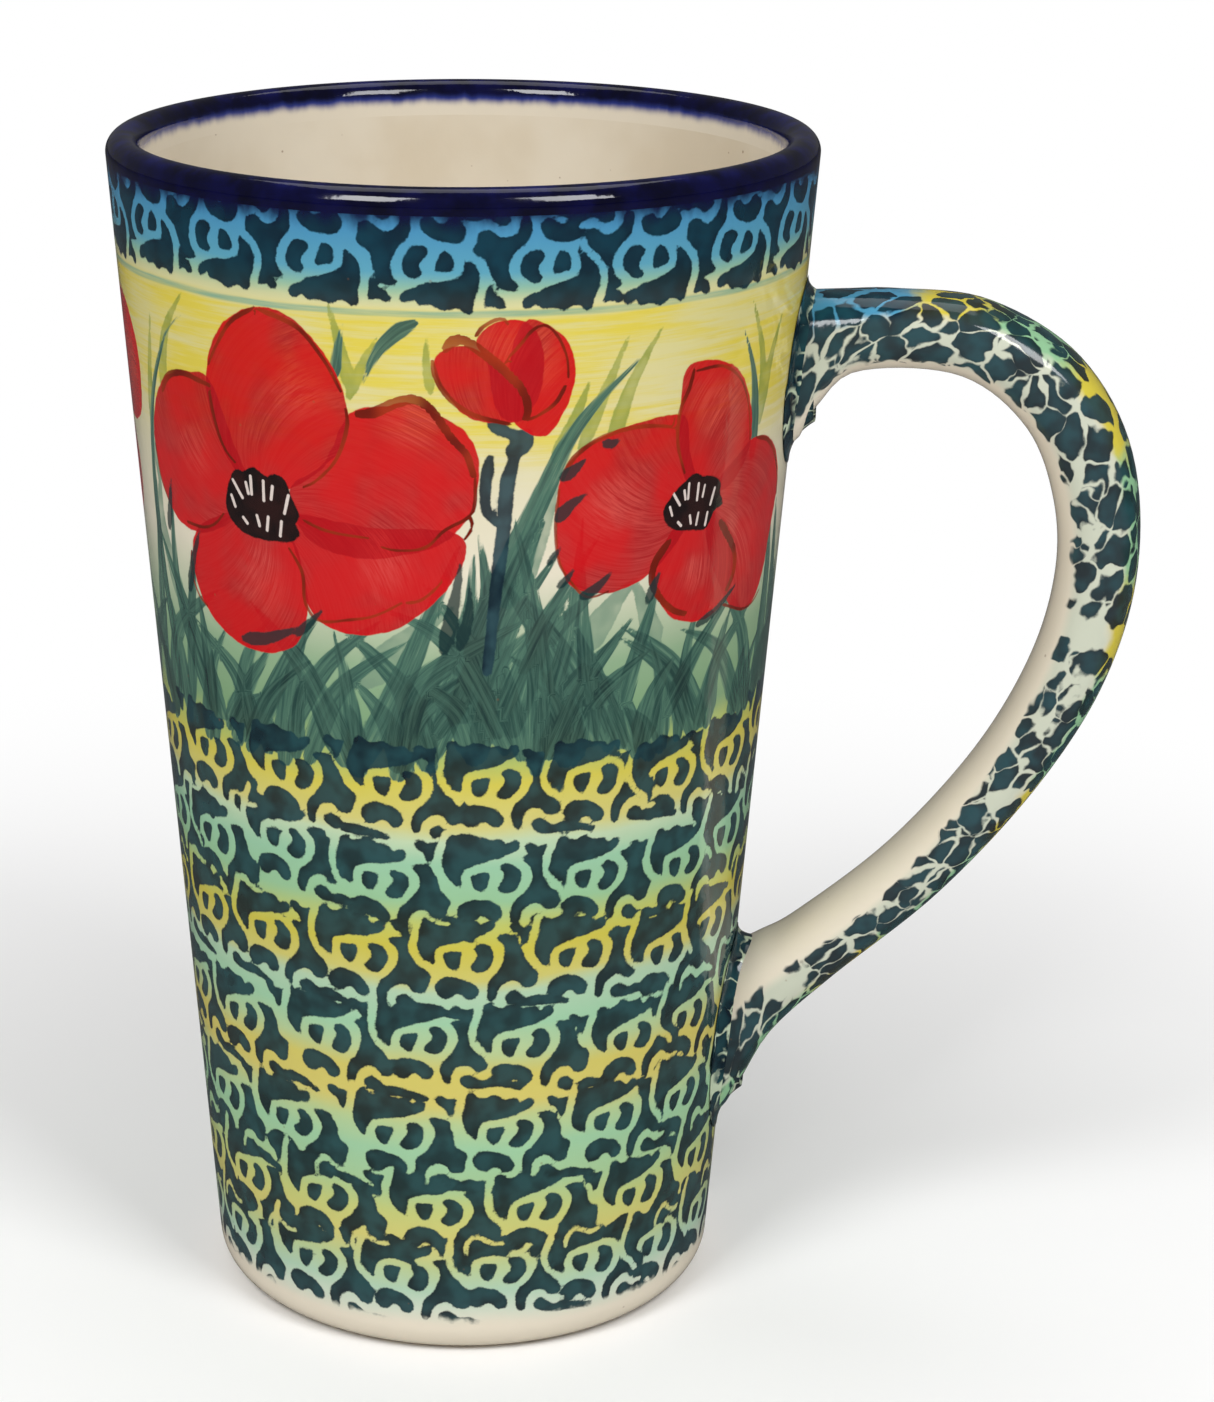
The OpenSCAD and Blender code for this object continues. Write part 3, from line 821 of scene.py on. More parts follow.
def paintWall(piece):
    around, height = wallPlaces(piece)
    names = ("petals0", "petals1", "petals2", "heart", "over", "stem", "pale", "stamps",
             "grass0", "grass1", "grass2", "grass3", "grass4")
    layers = {name: Layer(around, height) for name in names}
    pens = [PenLayer(around, height), PenLayer(around, height)]
    lights = np.zeros((len(around), 3))
    hearts = np.full((len(around), 3), 20.0)
    hearts[:, 2] = 1
    chance = random.Random(7)

    def paintPetal(petal, root, move):
        layer, (lightU, lightZ, size), points = petal
        (rootU, rootZ), = shifted([root], move)
        rows = layers[f"petals{layer}"].blob(shifted(points, move), chance.random() * 40, (rootU, rootZ))
        (u, z), = shifted([(lightU, lightZ)], move)
        away = np.hypot(wrapped(around[rows] - u) * 1.1, height[rows] - z)
        lights[rows, layer] = np.clip(1 - away / size, 0, 1)

    def paintFlower(flower, move):
        about, high, size = flower["middle"]
        for petal in flower["petals"]:
            paintPetal(petal, (about, high), move)
        layers["heart"].blob(shifted(flower["heart"], move), chance.random() * 9)
        rows, x, y, _ = layers["heart"].nearby([(about + move, high)], 9)
        hearts[rows] = np.column_stack([x / size, y / size, np.full(len(rows), size)])

    for flower in poppies:
        paintFlower(flower, 0.0)
    for flower in poppies[:2]:
        paintFlower(flower, repeatAt)
    for move in (0.0, repeatAt):
        for petal in bud["petals"]:
            paintPetal(petal, bud["root"], move)
        layers["stem"].blob(shifted(bud["sepals"], move), chance.random() * 9)
        for points, width in stemStrokes:
            layers["stem"].stroke(shifted(points, move), width, chance.random() * 9, taper=0.3)
        for i, (points, width) in enumerate(budLines):
            pens[i % 2].line(shifted(points, move), width, chance.random(), taper=0.35)
    for i, (points, width) in enumerate(penLines):
        for move in (0.0, repeatAt):
            pens[i % 2].line(shifted(points, move), width, chance.random(), taper=0.45)

    for points, width in overBlades:
        layers["over"].stroke(points, width, chance.random() * 9, taper=0.85)
    for group, layer in ((paleBlades, "pale"), (darkBlades, None)):
        for i, (points, width) in enumerate(group):
            where = layer or f"grass{i % 5}"
            moves = (0.0, repeatAt) if points[-1][1] > 101 else (0.0,)
            for move in moves:
                layers[where].stroke(shifted(points, move), width, chance.random() * 9, taper=0.9)
    # the thick of the grass
    for k in range(5):
        count = thicket["blades"] + 2 * k
        for i in range(count):
            foot = (i + chance.uniform(0.1, 0.9)) * wholeTurn / count
            tall = chance.uniform(*thicket["tall" if k else "short"])
            bend = chance.uniform(-thicket["bend"], thicket["bend"]) * tall
            base = chance.uniform(*thicket["foot"])
            middle = (foot + bend * chance.uniform(0.2, 0.42), base + tall * 0.58)
            points = [(foot, base), middle, (foot + bend, base + tall)]
            width = chance.uniform(*thicket["width"])
            layers[f"grass{k}"].stroke(points, width, chance.random() * 9, taper=0.92)

    def press(place, high, turn):
        layers["stamps"].stampBy(place, high, turn + chance.uniform(-3, 3), chance.uniform(0.98, 1.03),
                                 chance.random() * 7)

    for row, turn in [(row, 0) for row in stampRows] + [(rimRow, 180)]:
        for place, high in row:
            press(place, high, turn)
        gap = wholeTurn + row[0][0] - row[-1][0]
        usual = sum(high for _, high in row) / len(row)
        count = round(gap / ((row[-1][0] - row[0][0]) / (len(row) - 1)))
        for i in range(1, count):
            press(row[-1][0] + (i + chance.uniform(-0.04, 0.04)) * gap / count,
                  usual + chance.uniform(-0.8, 0.8), turn)
    layers["stamps"].leaveBare()
    for name, layer in layers.items():
        keep(piece, name, layer.values)
    for i, pen in enumerate(pens):
        keep(piece, f"pen{i}", pen.values)
    keep(piece, "petalLights", lights)
    keep(piece, "hearts", hearts)
    keep(piece, "wallPlace", np.column_stack([around, height, np.zeros(len(around))]))


# helpers for materials

def tint(red, green, blue):
    # a colour as seen on a screen, 0 to 255, made linear
    light = [c / 255 for c in (red, green, blue)]
    return tuple(c / 12.92 if c <= 0.04045 else ((c + 0.055) / 1.055) ** 2.4 for c in light) + (1.0,)


def plug(tree, value, socket):
    if isinstance(value, bpy.types.NodeSocket):
        tree.links.new(value, socket)
    else:
        socket.default_value = value


def add(tree, kind, inputs=None, **settings):
    made = tree.nodes.new("ShaderNode" + kind)
    made.location = (220 * (len(tree.nodes) % 12), -180 * (len(tree.nodes) // 12))
    for name, value in settings.items():
        setattr(made, name, value)
    for name, value in (inputs or {}).items():
        plug(tree, value, made.inputs[name])
    return made


def calc(tree, operation, *values, clamp=False):
    made = add(tree, "Math", operation=operation, use_clamp=clamp)
    for i, value in enumerate(values):
        plug(tree, value, made.inputs[i])
    return made.outputs[0]


def ease(tree, value, low, high, first=0.0, last=1.0):
    made = add(tree, "MapRange", interpolation_type="SMOOTHSTEP")
    for i, number in enumerate((value, low, high, first, last)):
        plug(tree, number, made.inputs[i])
    return made.outputs[0]


def blend(tree, share, first, second, how="MIX"):
    made = add(tree, "Mix", data_type="RGBA", blend_type=how)
    for i, value in ((0, share), (6, first), (7, second)):
        plug(tree, value, made.inputs[i])
    return made.outputs[2]


def grain(tree, place, scale, detail=2.0, rough=0.5):
    made = add(tree, "TexNoise", {"Vector": place, "Scale": scale, "Detail": detail, "Roughness": rough})
    return made.outputs["Fac"]


def place3(tree, x, y, z):
    return add(tree, "CombineXYZ", {0: x, 1: y, 2: z}).outputs[0]


def parts(tree, vector):
    made = add(tree, "SeparateXYZ", {0: vector})
    return made.outputs[0], made.outputs[1], made.outputs[2]


def marks(tree, name):
    return parts(tree, add(tree, "Attribute", attribute_name=name).outputs["Vector"])


def inMillimetres(tree):
    spot = add(tree, "TexCoord").outputs["Object"]
    return add(tree, "Mapping", {"Vector": spot, "Scale": (1000, 1000, 1000)}).outputs[0]


def fromAxis(tree, x, y):
    return calc(tree, "SQRT", calc(tree, "MULTIPLY_ADD", x, x, calc(tree, "MULTIPLY", y, y)))


def newGroup(name, inputs, outputs):
    group = bpy.data.node_groups.new(name, "ShaderNodeTree")
    for label, kind in inputs:
        group.interface.new_socket(label, in_out="INPUT", socket_type="NodeSocket" + kind)
    for label, kind in outputs:
        group.interface.new_socket(label, in_out="OUTPUT", socket_type="NodeSocket" + kind)
    start = group.nodes.new("NodeGroupInput")
    end = group.nodes.new("NodeGroupOutput")
    return group, start.outputs, end.inputs


def useGroup(tree, group, **values):
    made = tree.nodes.new("ShaderNodeGroup")
    made.node_tree = group
    for name, value in values.items():
        plug(tree, value, made.inputs[name])
    return made.outputs


def newMaterial(name):
    material = bpy.data.materials.new(name)
    material.use_nodes = True
    return material, material.node_tree, material.node_tree.nodes["Principled BSDF"]


# effects that several materials share

def inkGroup():
    # sponge or brush paint: a ragged edge, darker where it pools, thinner in the middle
    group, given, out = newGroup("inkEdge",
                                 [("Distance", "Float"), ("Place", "Vector"), ("Ragged", "Float"),
                                  ("Wash", "Float")],
                                 [("Mask", "Float"), ("Tone", "Float")])
    big = calc(group, "SUBTRACT", grain(group, given["Place"], 0.8, 2.0), 0.5)
    small = calc(group, "SUBTRACT", grain(group, given["Place"], 3.4, 1.0), 0.5)
    rough = calc(group, "MULTIPLY_ADD", big, 1.3, calc(group, "MULTIPLY", small, 0.6))
    edge = calc(group, "MULTIPLY_ADD", rough, given["Ragged"], given["Distance"])
    plug(group, ease(group, edge, 0.14, -0.1), out["Mask"])
    pooled = ease(group, edge, -0.6, -0.1)
    wash = ease(group, grain(group, given["Place"], 0.36, 1.5, 0.5), 0.32, 0.68)
    tone = calc(group, "MULTIPLY_ADD", pooled, 0.18, calc(group, "MULTIPLY", wash, 0.72))
    plug(group, calc(group, "MULTIPLY_ADD", given["Wash"], -0.45, calc(group, "ADD", tone, 0.35),
                     clamp=True), out["Tone"])
    return group


def streakGroup():
    # fine lines that a brush leaves along its stroke
    group, given, out = newGroup("brushStreaks",
                                 [("Across", "Float"), ("Along", "Float"), ("Seed", "Float"),
                                  ("Fineness", "Float")],
                                 [("Streak", "Float")])
    across = calc(group, "MULTIPLY", given["Across"], given["Fineness"])
    along = calc(group, "MULTIPLY", given["Along"], 0.3)
    lines = grain(group, place3(group, across, along, given["Seed"]), 1.0, 3.0, 0.65)
    plug(group, ease(group, lines, 0.3, 0.7), out["Streak"])
    return group


def speckGroup():
    # iron specks in the clay that show through clear glaze
    group, given, out = newGroup("claySpecks", [("Place", "Vector"), ("Share", "Float")], [("Mask", "Float")])
    cells = add(group, "TexVoronoi", {"Vector": given["Place"], "Scale": 0.42, "Randomness": 1.0})
    chosen, size, _ = parts(group, cells.outputs["Color"])
    here = calc(group, "LESS_THAN", chosen, given["Share"])
    reach = calc(group, "MULTIPLY_ADD", size, 0.05, 0.035)
    dot = ease(group, calc(group, "SUBTRACT", cells.outputs["Distance"], reach), 0.03, -0.03)
    plug(group, calc(group, "MULTIPLY", dot, here), out["Mask"])
    return group


def dabGroup():
    # dabs of paint set close together, with thin gaps of glaze between them
    group, given, out = newGroup("paintDabs", [("Place", "Vector"), ("Size", "Float"), ("Gap", "Float")],
                                 [("Distance", "Float"), ("Wash", "Float")])
    bend = add(group, "TexNoise", {"Vector": given["Place"], "Scale": 0.3, "Detail": 1.0}).outputs["Color"]
    bend = add(group, "VectorMath", {0: bend, 1: (0.5, 0.5, 0.5)}, operation="SUBTRACT").outputs[0]
    spot = add(group, "VectorMath", {0: bend, 1: (2.4, 2.4, 2.4), 2: given["Place"]},
               operation="MULTIPLY_ADD").outputs[0]
    curl = add(group, "TexNoise", {"Vector": given["Place"], "Scale": 0.9, "Detail": 0.0}).outputs["Color"]
    curl = add(group, "VectorMath", {0: curl, 1: (0.5, 0.5, 0.5)}, operation="SUBTRACT").outputs[0]
    spot = add(group, "VectorMath", {0: curl, 1: (0.7, 0.7, 0.7), 2: spot},
               operation="MULTIPLY_ADD").outputs[0]
    scale = calc(group, "DIVIDE", 1.0, given["Size"])
    cells = add(group, "TexVoronoi", {"Vector": spot, "Scale": scale})
    edges = add(group, "TexVoronoi", {"Vector": spot, "Scale": scale}, feature="DISTANCE_TO_EDGE")
    gap = calc(group, "MULTIPLY_ADD", calc(group, "SUBTRACT", grain(group, given["Place"], 0.3, 1.0), 0.5),
               1.1, given["Gap"])
    between = calc(group, "SUBTRACT", gap, calc(group, "MULTIPLY", edges.outputs["Distance"], given["Size"]))
    outside = calc(group, "MULTIPLY", calc(group, "SUBTRACT", cells.outputs["Distance"], 0.68), given["Size"])
    plug(group, calc(group, "MAXIMUM", between, outside), out["Distance"])
    plug(group, parts(group, cells.outputs["Color"])[0], out["Wash"])
    return group


def glazeGroup():
    # the slow ripple and faint pits of a dipped glaze, and where it is a little less glossy
    group, given, out = newGroup("glazeSurface", [("Place", "Vector"), ("Ripple", "Float")],
                                 [("Height", "Float"), ("Roughness", "Float")])
    slow = grain(group, given["Place"], 0.11, 1.0)
    quick = grain(group, given["Place"], 0.7, 2.0)
    both = calc(group, "MULTIPLY_ADD", quick, 0.18, slow)
    plug(group, calc(group, "MULTIPLY", both, given["Ripple"]), out["Height"])
    plug(group, ease(group, grain(group, given["Place"], 0.25, 2.0), 0.3, 0.75, 0.05, 0.13), out["Roughness"])
    return group


def dashGroup():
    # distance to a short straight dash
    group, given, out = newGroup("dashDistance",
                                 [(name, "Float") for name in ("X", "Y", "FromX", "FromY", "StepX", "StepY")],
                                 [("Distance", "Float")])
    dx = calc(group, "SUBTRACT", given["X"], given["FromX"])
    dy = calc(group, "SUBTRACT", given["Y"], given["FromY"])
    stepX, stepY = given["StepX"], given["StepY"]
    dot = calc(group, "MULTIPLY_ADD", dx, stepX, calc(group, "MULTIPLY", dy, stepY))
    size = calc(group, "MULTIPLY_ADD", stepX, stepX, calc(group, "MULTIPLY", stepY, stepY))
    share = calc(group, "DIVIDE", dot, size, clamp=True)
    restX = calc(group, "SUBTRACT", dx, calc(group, "MULTIPLY", share, stepX))
    restY = calc(group, "SUBTRACT", dy, calc(group, "MULTIPLY", share, stepY))
    square = calc(group, "MULTIPLY_ADD", restX, restX, calc(group, "MULTIPLY", restY, restY))
    plug(group, calc(group, "SQRT", square), out["Distance"])
    return group


def shadeRamp(tree, share, stops):
    ramp = add(tree, "ValToRGB", {0: share})
    bar = ramp.color_ramp
    while len(bar.elements) < len(stops):
        bar.elements.new(0.5)
    for stop, (spot, shade) in zip(bar.elements, stops):
        stop.position = spot
        stop.color = tint(*shade)
    return ramp.outputs[0]


ink, streaks, specks, glazeSurface = inkGroup(), streakGroup(), speckGroup(), glazeGroup()
dashDistance, dabs = dashGroup(), dabGroup()
colours = {
    "cream": tint(222, 212, 193),
    "creamWarm": tint(212, 199, 176),
    "speck": tint(120, 84, 52),
    "inkDeep": tint(8, 26, 36),
    "inkThin": tint(30, 66, 72),
    "rimInkDeep": tint(1, 22, 36),
    "rimInkThin": tint(6, 46, 60),
    "strapInkDeep": tint(3, 24, 36),
    "strapInkThin": tint(20, 62, 72),
    "cobalt": tint(6, 7, 50),
    "cobaltDeep": tint(2, 2, 24),
    "redDeep": tint(154, 8, 20),
    "red": tint(190, 6, 16),
    "redThin": tint(204, 46, 44),
    "rust": tint(112, 26, 8),
    "black": tint(20, 14, 14),
    "chalk": tint(222, 208, 200),
    "grassDeep": tint(18, 44, 46),
}
# ground colours up the wall: height in mm, colour
ground = [
    (4.5, (222, 212, 193)), (6.5, (200, 209, 190)), (9.5, (171, 200, 174)), (13.0, (180, 196, 142)),
    (16.5, (202, 193, 112)), (20.5, (188, 195, 118)), (24.5, (159, 192, 143)), (29.5, (151, 194, 155)),
    (33.5, (176, 195, 139)), (36.5, (203, 190, 104)), (40.5, (200, 188, 98)), (43.5, (174, 194, 142)),
    (47.0, (151, 194, 158)), (51.5, (168, 196, 166)), (53.5, (196, 188, 104)), (57.5, (194, 183, 72)),
    (60.5, (182, 188, 98)), (64.0, (144, 186, 143)), (68.5, (146, 190, 157)), (71.8, (182, 202, 167)),
    (74.0, (200, 192, 116)), (79.0, (200, 188, 78)), (82.0, (168, 180, 98)), (86.0, (118, 152, 112)),
    (94.0, (136, 164, 130)), (100.0, (182, 190, 162)), (106.0, (216, 208, 187)), (138.6, (202, 198, 146)),
    (140.4, (136, 176, 150)), (142.4, (86, 152, 174)), (148.5, (62, 128, 170)),
]


def glazeFinish(tree, shader, place, ripple=1.0, bump=0.00012):
    surface = useGroup(tree, glazeSurface, Place=place, Ripple=ripple)
    plug(tree, surface["Roughness"], shader.inputs["Roughness"])
    bumped = add(tree, "Bump", {"Height": surface["Height"], "Distance": bump, "Strength": 1.0})
    plug(tree, bumped.outputs[0], shader.inputs["Normal"])
    shader.inputs["IOR"].default_value = 1.5


def speckled(tree, colour, place, share, weight):
    # share is how many places have a speck, weight how dark it shows
    dots = useGroup(tree, specks, Place=place, Share=share)["Mask"]
    return blend(tree, calc(tree, "MULTIPLY", dots, weight), colour, colours["speck"])


def makePaintedGlaze():
    material, tree, shader = newMaterial("paintedGlaze")
    place = inMillimetres(tree)
    u, z, _ = marks(tree, "wallPlace")
    soft = grain(tree, place3(tree, calc(tree, "MULTIPLY", u, 0.045), calc(tree, "MULTIPLY", z, 0.12), 3.0),
                 1.0)
    drift = calc(tree, "MULTIPLY_ADD", soft, 3.4, -1.7)
    wavy = calc(tree, "MULTIPLY", drift, ease(tree, z, 84.0, 90.0, 1.0, 0.25))
    level = calc(tree, "DIVIDE", calc(tree, "ADD", z, wavy), 152.0)
    colour = shadeRamp(tree, level, [(high / 152, shade) for high, shade in ground])

    # yellow sky, brushed sideways
    line = useGroup(tree, streaks, Across=z, Along=calc(tree, "MULTIPLY", u, 0.22), Seed=2.0,
                    Fineness=1.3)["Streak"]
    patch = grain(tree, place3(tree, calc(tree, "MULTIPLY", u, 0.05), calc(tree, "MULTIPLY", z, 0.09), 8.0),
                  1.0)
    reach = calc(tree, "MULTIPLY", ease(tree, z, 115.0, 124.0), ease(tree, z, 138.6, 137.2))
    strong = ease(tree, calc(tree, "MULTIPLY_ADD", line, 0.3, patch), 0.42, 0.86)
    yellow = calc(tree, "MULTIPLY", calc(tree, "MULTIPLY_ADD", strong, 0.72, 0.28), reach)
    colour = blend(tree, yellow, colour, tint(210, 192, 74))
    band = calc(tree, "ABSOLUTE", calc(tree, "SUBTRACT", calc(tree, "ADD", z,
                                                              calc(tree, "MULTIPLY", drift, 0.35)), 137.5))
    thread = calc(tree, "MULTIPLY", ease(tree, band, 0.55, 0.2), calc(tree, "MULTIPLY_ADD", line, 0.5, 0.4))
    colour = blend(tree, thread, colour, tint(116, 160, 140))

    # pale blades, then the dark grass, denser where strokes cross and near the foot
    distance = marks(tree, "pale")[0]
    mark = useGroup(tree, ink, Distance=distance, Place=place, Ragged=0.3, Wash=0.5)
    high = ease(tree, z, 116.0, 124.0)
    shade = blend(tree, high, tint(112, 138, 116), tint(136, 146, 62))
    colour = blend(tree, calc(tree, "MULTIPLY", mark["Mask"], calc(tree, "MULTIPLY_ADD", mark["Tone"], 0.35,
                                                                   0.55)), colour, shade)
    depth, shine = 0.0, 0.0
    for k in range(5):
        distance, across, seed = marks(tree, f"grass{k}")
        streak = useGroup(tree, streaks, Across=across, Along=calc(tree, "MULTIPLY", z, 0.35), Seed=seed,
                          Fineness=2.0)["Streak"]
        edge = calc(tree, "MULTIPLY_ADD", streak, 0.16, distance)
        weight = calc(tree, "MULTIPLY_ADD", streak, -0.5, 1.05)
        mask = ease(tree, edge, 0.2, -0.1)
        depth = calc(tree, "MULTIPLY_ADD", mask, weight, depth)
        shine = calc(tree, "MULTIPLY_ADD", mask, calc(tree, "SUBTRACT", streak, shine), shine)
    shade = shadeRamp(tree, calc(tree, "MULTIPLY", depth, 0.3), [
        (0.0, (94, 126, 106)), (0.16, (72, 106, 90)), (0.3, (47, 81, 73)), (0.5, (31, 62, 59)), (0.85,
                                                                                                 (16, 42, 44))])
    shade = blend(tree, calc(tree, "MULTIPLY", shine, 0.42), shade, tint(84, 122, 104))
    colour = blend(tree, calc(tree, "MINIMUM", calc(tree, "MULTIPLY", depth, 1.5), 0.97), colour, shade)
    distance = marks(tree, "stem")[0]
    mark = useGroup(tree, ink, Distance=distance, Place=place, Ragged=0.25, Wash=0.4)
    shade = blend(tree, mark["Tone"], tint(44, 74, 82), tint(12, 32, 44))
    colour = blend(tree, calc(tree, "MULTIPLY", mark["Mask"], 0.96), colour, shade)

    # petals, one coat over another
    ragged = calc(tree, "SUBTRACT", grain(tree, place, 0.6, 2.0), 0.5)
    brightness = parts(tree, add(tree, "Attribute", attribute_name="petalLights").outputs["Vector"])
    under = 0.0
    for k in range(3):
        distance, sweep, seed = marks(tree, f"petals{k}")
        streak = useGroup(tree, streaks, Across=sweep, Along=distance, Seed=seed, Fineness=3.6)["Streak"]
        edge = calc(tree, "MULTIPLY_ADD", ragged, 0.45, distance)
        mask = ease(tree, edge, 0.1, -0.1)
        offset = add(tree, "VectorMath", {0: place, 1: place3(tree, seed, 0.0, 0.0)},
                     operation="ADD").outputs[0]
        patch = ease(tree, grain(tree, offset, 0.12, 2.0), 0.4, 0.7)
        lit = ease(tree, calc(tree, "MULTIPLY_ADD", calc(tree, "SUBTRACT", patch, 0.5), 0.35,
                              brightness[k]), 0.12, 0.8)
        thin = calc(tree, "MULTIPLY", calc(tree, "MULTIPLY_ADD", streak, 0.85, 0.15),
                    calc(tree, "MULTIPLY_ADD", lit, 0.44, calc(tree, "MULTIPLY_ADD", patch, 0.34,
                                                               0.1)), clamp=True)
        red = blend(tree, patch, colours["red"], colours["redDeep"])
        red = blend(tree, calc(tree, "MULTIPLY", under, 0.7), red, colours["redDeep"])
        red = blend(tree, thin, red, colours["redThin"])
        colour = blend(tree, calc(tree, "MULTIPLY", mask, calc(tree, "MULTIPLY_ADD", thin, -0.08, 0.99)),
                       colour, red)
        under = calc(tree, "MAXIMUM", under, mask)
    wet, load = grain(tree, place, 0.8, 2.0), grain(tree, place, 0.16, 1.0)
    for k in range(2):
        side, half, _ = marks(tree, f"pen{k}")
        edge = calc(tree, "SUBTRACT", calc(tree, "ABSOLUTE", side), half)
        edge = calc(tree, "MULTIPLY_ADD", calc(tree, "SUBTRACT", wet, 0.55), 0.16, edge)
        mask = calc(tree, "MULTIPLY", ease(tree, edge, 0.09, -0.09),
                    calc(tree, "MULTIPLY_ADD", load, 0.5, 0.68, clamp=True))
        shade = blend(tree, ease(tree, load, 0.35, 0.65), tint(146, 46, 16), tint(104, 22, 8))
        colour = blend(tree, mask, colour, shade)

    # black hearts with chalky dashes
    distance = marks(tree, "heart")[0]
    mark = useGroup(tree, ink, Distance=distance, Place=place, Ragged=0.3, Wash=0.3)
    colour = blend(tree, mark["Mask"], colour, blend(tree, mark["Tone"], tint(44, 22, 20), colours["black"]))
    x, y, _ = marks(tree, "hearts")
    nearest = 9.0
    for start, end in dashes:
        run = useGroup(tree, dashDistance, X=x, Y=y, FromX=start[0], FromY=start[1],
                       StepX=end[0] - start[0], StepY=end[1] - start[1])["Distance"]
        nearest = calc(tree, "MINIMUM", nearest, run)
    chalk = ease(tree, calc(tree, "MULTIPLY_ADD", wet, 0.12, nearest), 0.33, 0.2)
    colour = blend(tree, calc(tree, "MULTIPLY", chalk, calc(tree, "MULTIPLY", mark["Mask"], 0.88)), colour,
                   colours["chalk"])
    distance = marks(tree, "over")[0]
    mark = useGroup(tree, ink, Distance=distance, Place=place, Ragged=0.3, Wash=0.5)
    colour = blend(tree, calc(tree, "MULTIPLY", mark["Mask"], 0.88), colour, colours["grassDeep"])

    # sponge stamps, bluer in the band under the rim
    distance, wash, _ = marks(tree, "stamps")
    mark = useGroup(tree, ink, Distance=distance, Place=place, Ragged=0.36, Wash=wash)
    atRim = ease(tree, z, 120.0, 130.0)
    deepInk = blend(tree, atRim, colours["inkDeep"], colours["rimInkDeep"])
    thinInk = blend(tree, atRim, colours["inkThin"], colours["rimInkThin"])
    foot = ease(tree, calc(tree, "MULTIPLY_ADD", wet, 1.6, z), 5.6, 6.6)
    colour = blend(tree, calc(tree, "MULTIPLY", calc(tree, "MULTIPLY", mark["Mask"], foot), 0.97), colour,
                   blend(tree, mark["Tone"], thinInk, deepInk))

    # cobalt runs down from the rim
    run = grain(tree, place3(tree, calc(tree, "MULTIPLY", u, 0.55), calc(tree, "MULTIPLY", z, 0.2), 5.0),
                1.0, 3.0)
    low = calc(tree, "MULTIPLY_ADD", run, -3.2, z)
    colour = blend(tree, ease(tree, low, 145.2, 148.0), colour, colours["cobalt"])
    colour = speckled(tree, colour, place, 0.1, 0.35)
    plug(tree, colour, shader.inputs["Base Color"])
    glazeFinish(tree, shader, place)
    return material


def makeStampedGlaze():
    # the handle: dabs on a tinted stripe, bare cream inside
    material, tree, shader = newMaterial("stampedGlaze")
    place = inMillimetres(tree)
    s, t, side = marks(tree, "strapPlace")
    wave = grain(tree, place, 0.3, 2.0)
    moved = calc(tree, "MULTIPLY_ADD", wave, 6.0, calc(tree, "SUBTRACT", s, 3.0))
    yellow, mint, sky = (202, 186, 66), (138, 184, 142), (74, 144, 178)
    stops = [(0, sky), (17, sky), (20, yellow), (27, yellow), (30, mint), (38, mint), (41, yellow),
             (49, yellow),
             (52, mint), (63, mint), (66, yellow), (74, yellow), (77, mint), (90, mint), (93, yellow), (101,
                                                                                                        yellow),
             (104, mint), (118, mint), (121, yellow), (128, yellow), (131, mint), (144, mint), (147,
                                                                                                yellow), (156, yellow),
             (159, mint), (172, mint), (175, yellow), (188, yellow)]
    stripes = shadeRamp(tree, calc(tree, "DIVIDE", moved, 200.0),
                        [(spot / 200, shade) for spot, shade in stops])
    stripe = ease(tree, calc(tree, "MULTIPLY_ADD", wave, 3.0, side), 9.4, 7.4)
    colour = blend(tree, stripe, colours["cream"], stripes)
    paintEdge = ease(tree, s, 80.0, 125.0, *strap["paintHalf"])
    washed = ease(tree, calc(tree, "SUBTRACT", side, paintEdge), 0.6, -1.2)
    colour = blend(tree, calc(tree, "MULTIPLY", washed, calc(tree, "SUBTRACT", 1.0, stripe)), colour,
                   tint(192, 196, 178))
    dab = useGroup(tree, dabs, Place=place3(tree, calc(tree, "MULTIPLY", s, 0.85), t, 0.0), Size=3.5,
                   Gap=0.17)
    mark = useGroup(tree, ink, Distance=dab["Distance"], Place=place, Ragged=0.16, Wash=dab["Wash"])
    reach = calc(tree, "MULTIPLY_ADD", calc(tree, "SUBTRACT", grain(tree, place, 0.4, 1.0), 0.5), 3.0, side)
    painted = ease(tree, calc(tree, "SUBTRACT", reach, paintEdge), 0.2, -0.2)
    shade = blend(tree, mark["Tone"], colours["strapInkThin"], colours["strapInkDeep"])
    colour = blend(tree, calc(tree, "MULTIPLY", calc(tree, "MULTIPLY", mark["Mask"], painted), 0.96),
                   colour, shade)
    colour = speckled(tree, colour, place, 0.22, 0.4)
    plug(tree, colour, shader.inputs["Base Color"])
    glazeFinish(tree, shader, place)
    return material


def makeJointGlaze():
    # the dabs of the handle, with paint pooled in the crease against the wall
    material, tree, shader = newMaterial("jointGlaze")
    place = inMillimetres(tree)
    x, y, z = parts(tree, place)
    radius = fromAxis(tree, x, y)
    lift = calc(tree, "SUBTRACT", radius, calc(tree, "MULTIPLY_ADD", z, cup["slope"], cup["footR"]))
    dab = useGroup(tree, dabs, Place=place, Size=3.4, Gap=0.16)
    mark = useGroup(tree, ink, Distance=dab["Distance"], Place=place, Ragged=0.3, Wash=dab["Wash"])
    pooled = ease(tree, calc(tree, "MULTIPLY_ADD", grain(tree, place, 0.5, 2.0), 1.6, lift), 2.1, 1.4)
    pooled = calc(tree, "MULTIPLY", pooled, ease(tree, grain(tree, place, 0.2, 1.0), 0.4, 0.52))
    mask = calc(tree, "MAXIMUM", mark["Mask"], pooled)
    shade = blend(tree, mark["Tone"], colours["inkThin"], colours["inkDeep"])
    colour = blend(tree, mask, tint(186, 200, 172), shade)
    plug(tree, colour, shader.inputs["Base Color"])
    glazeFinish(tree, shader, place, 1.6)
    return material


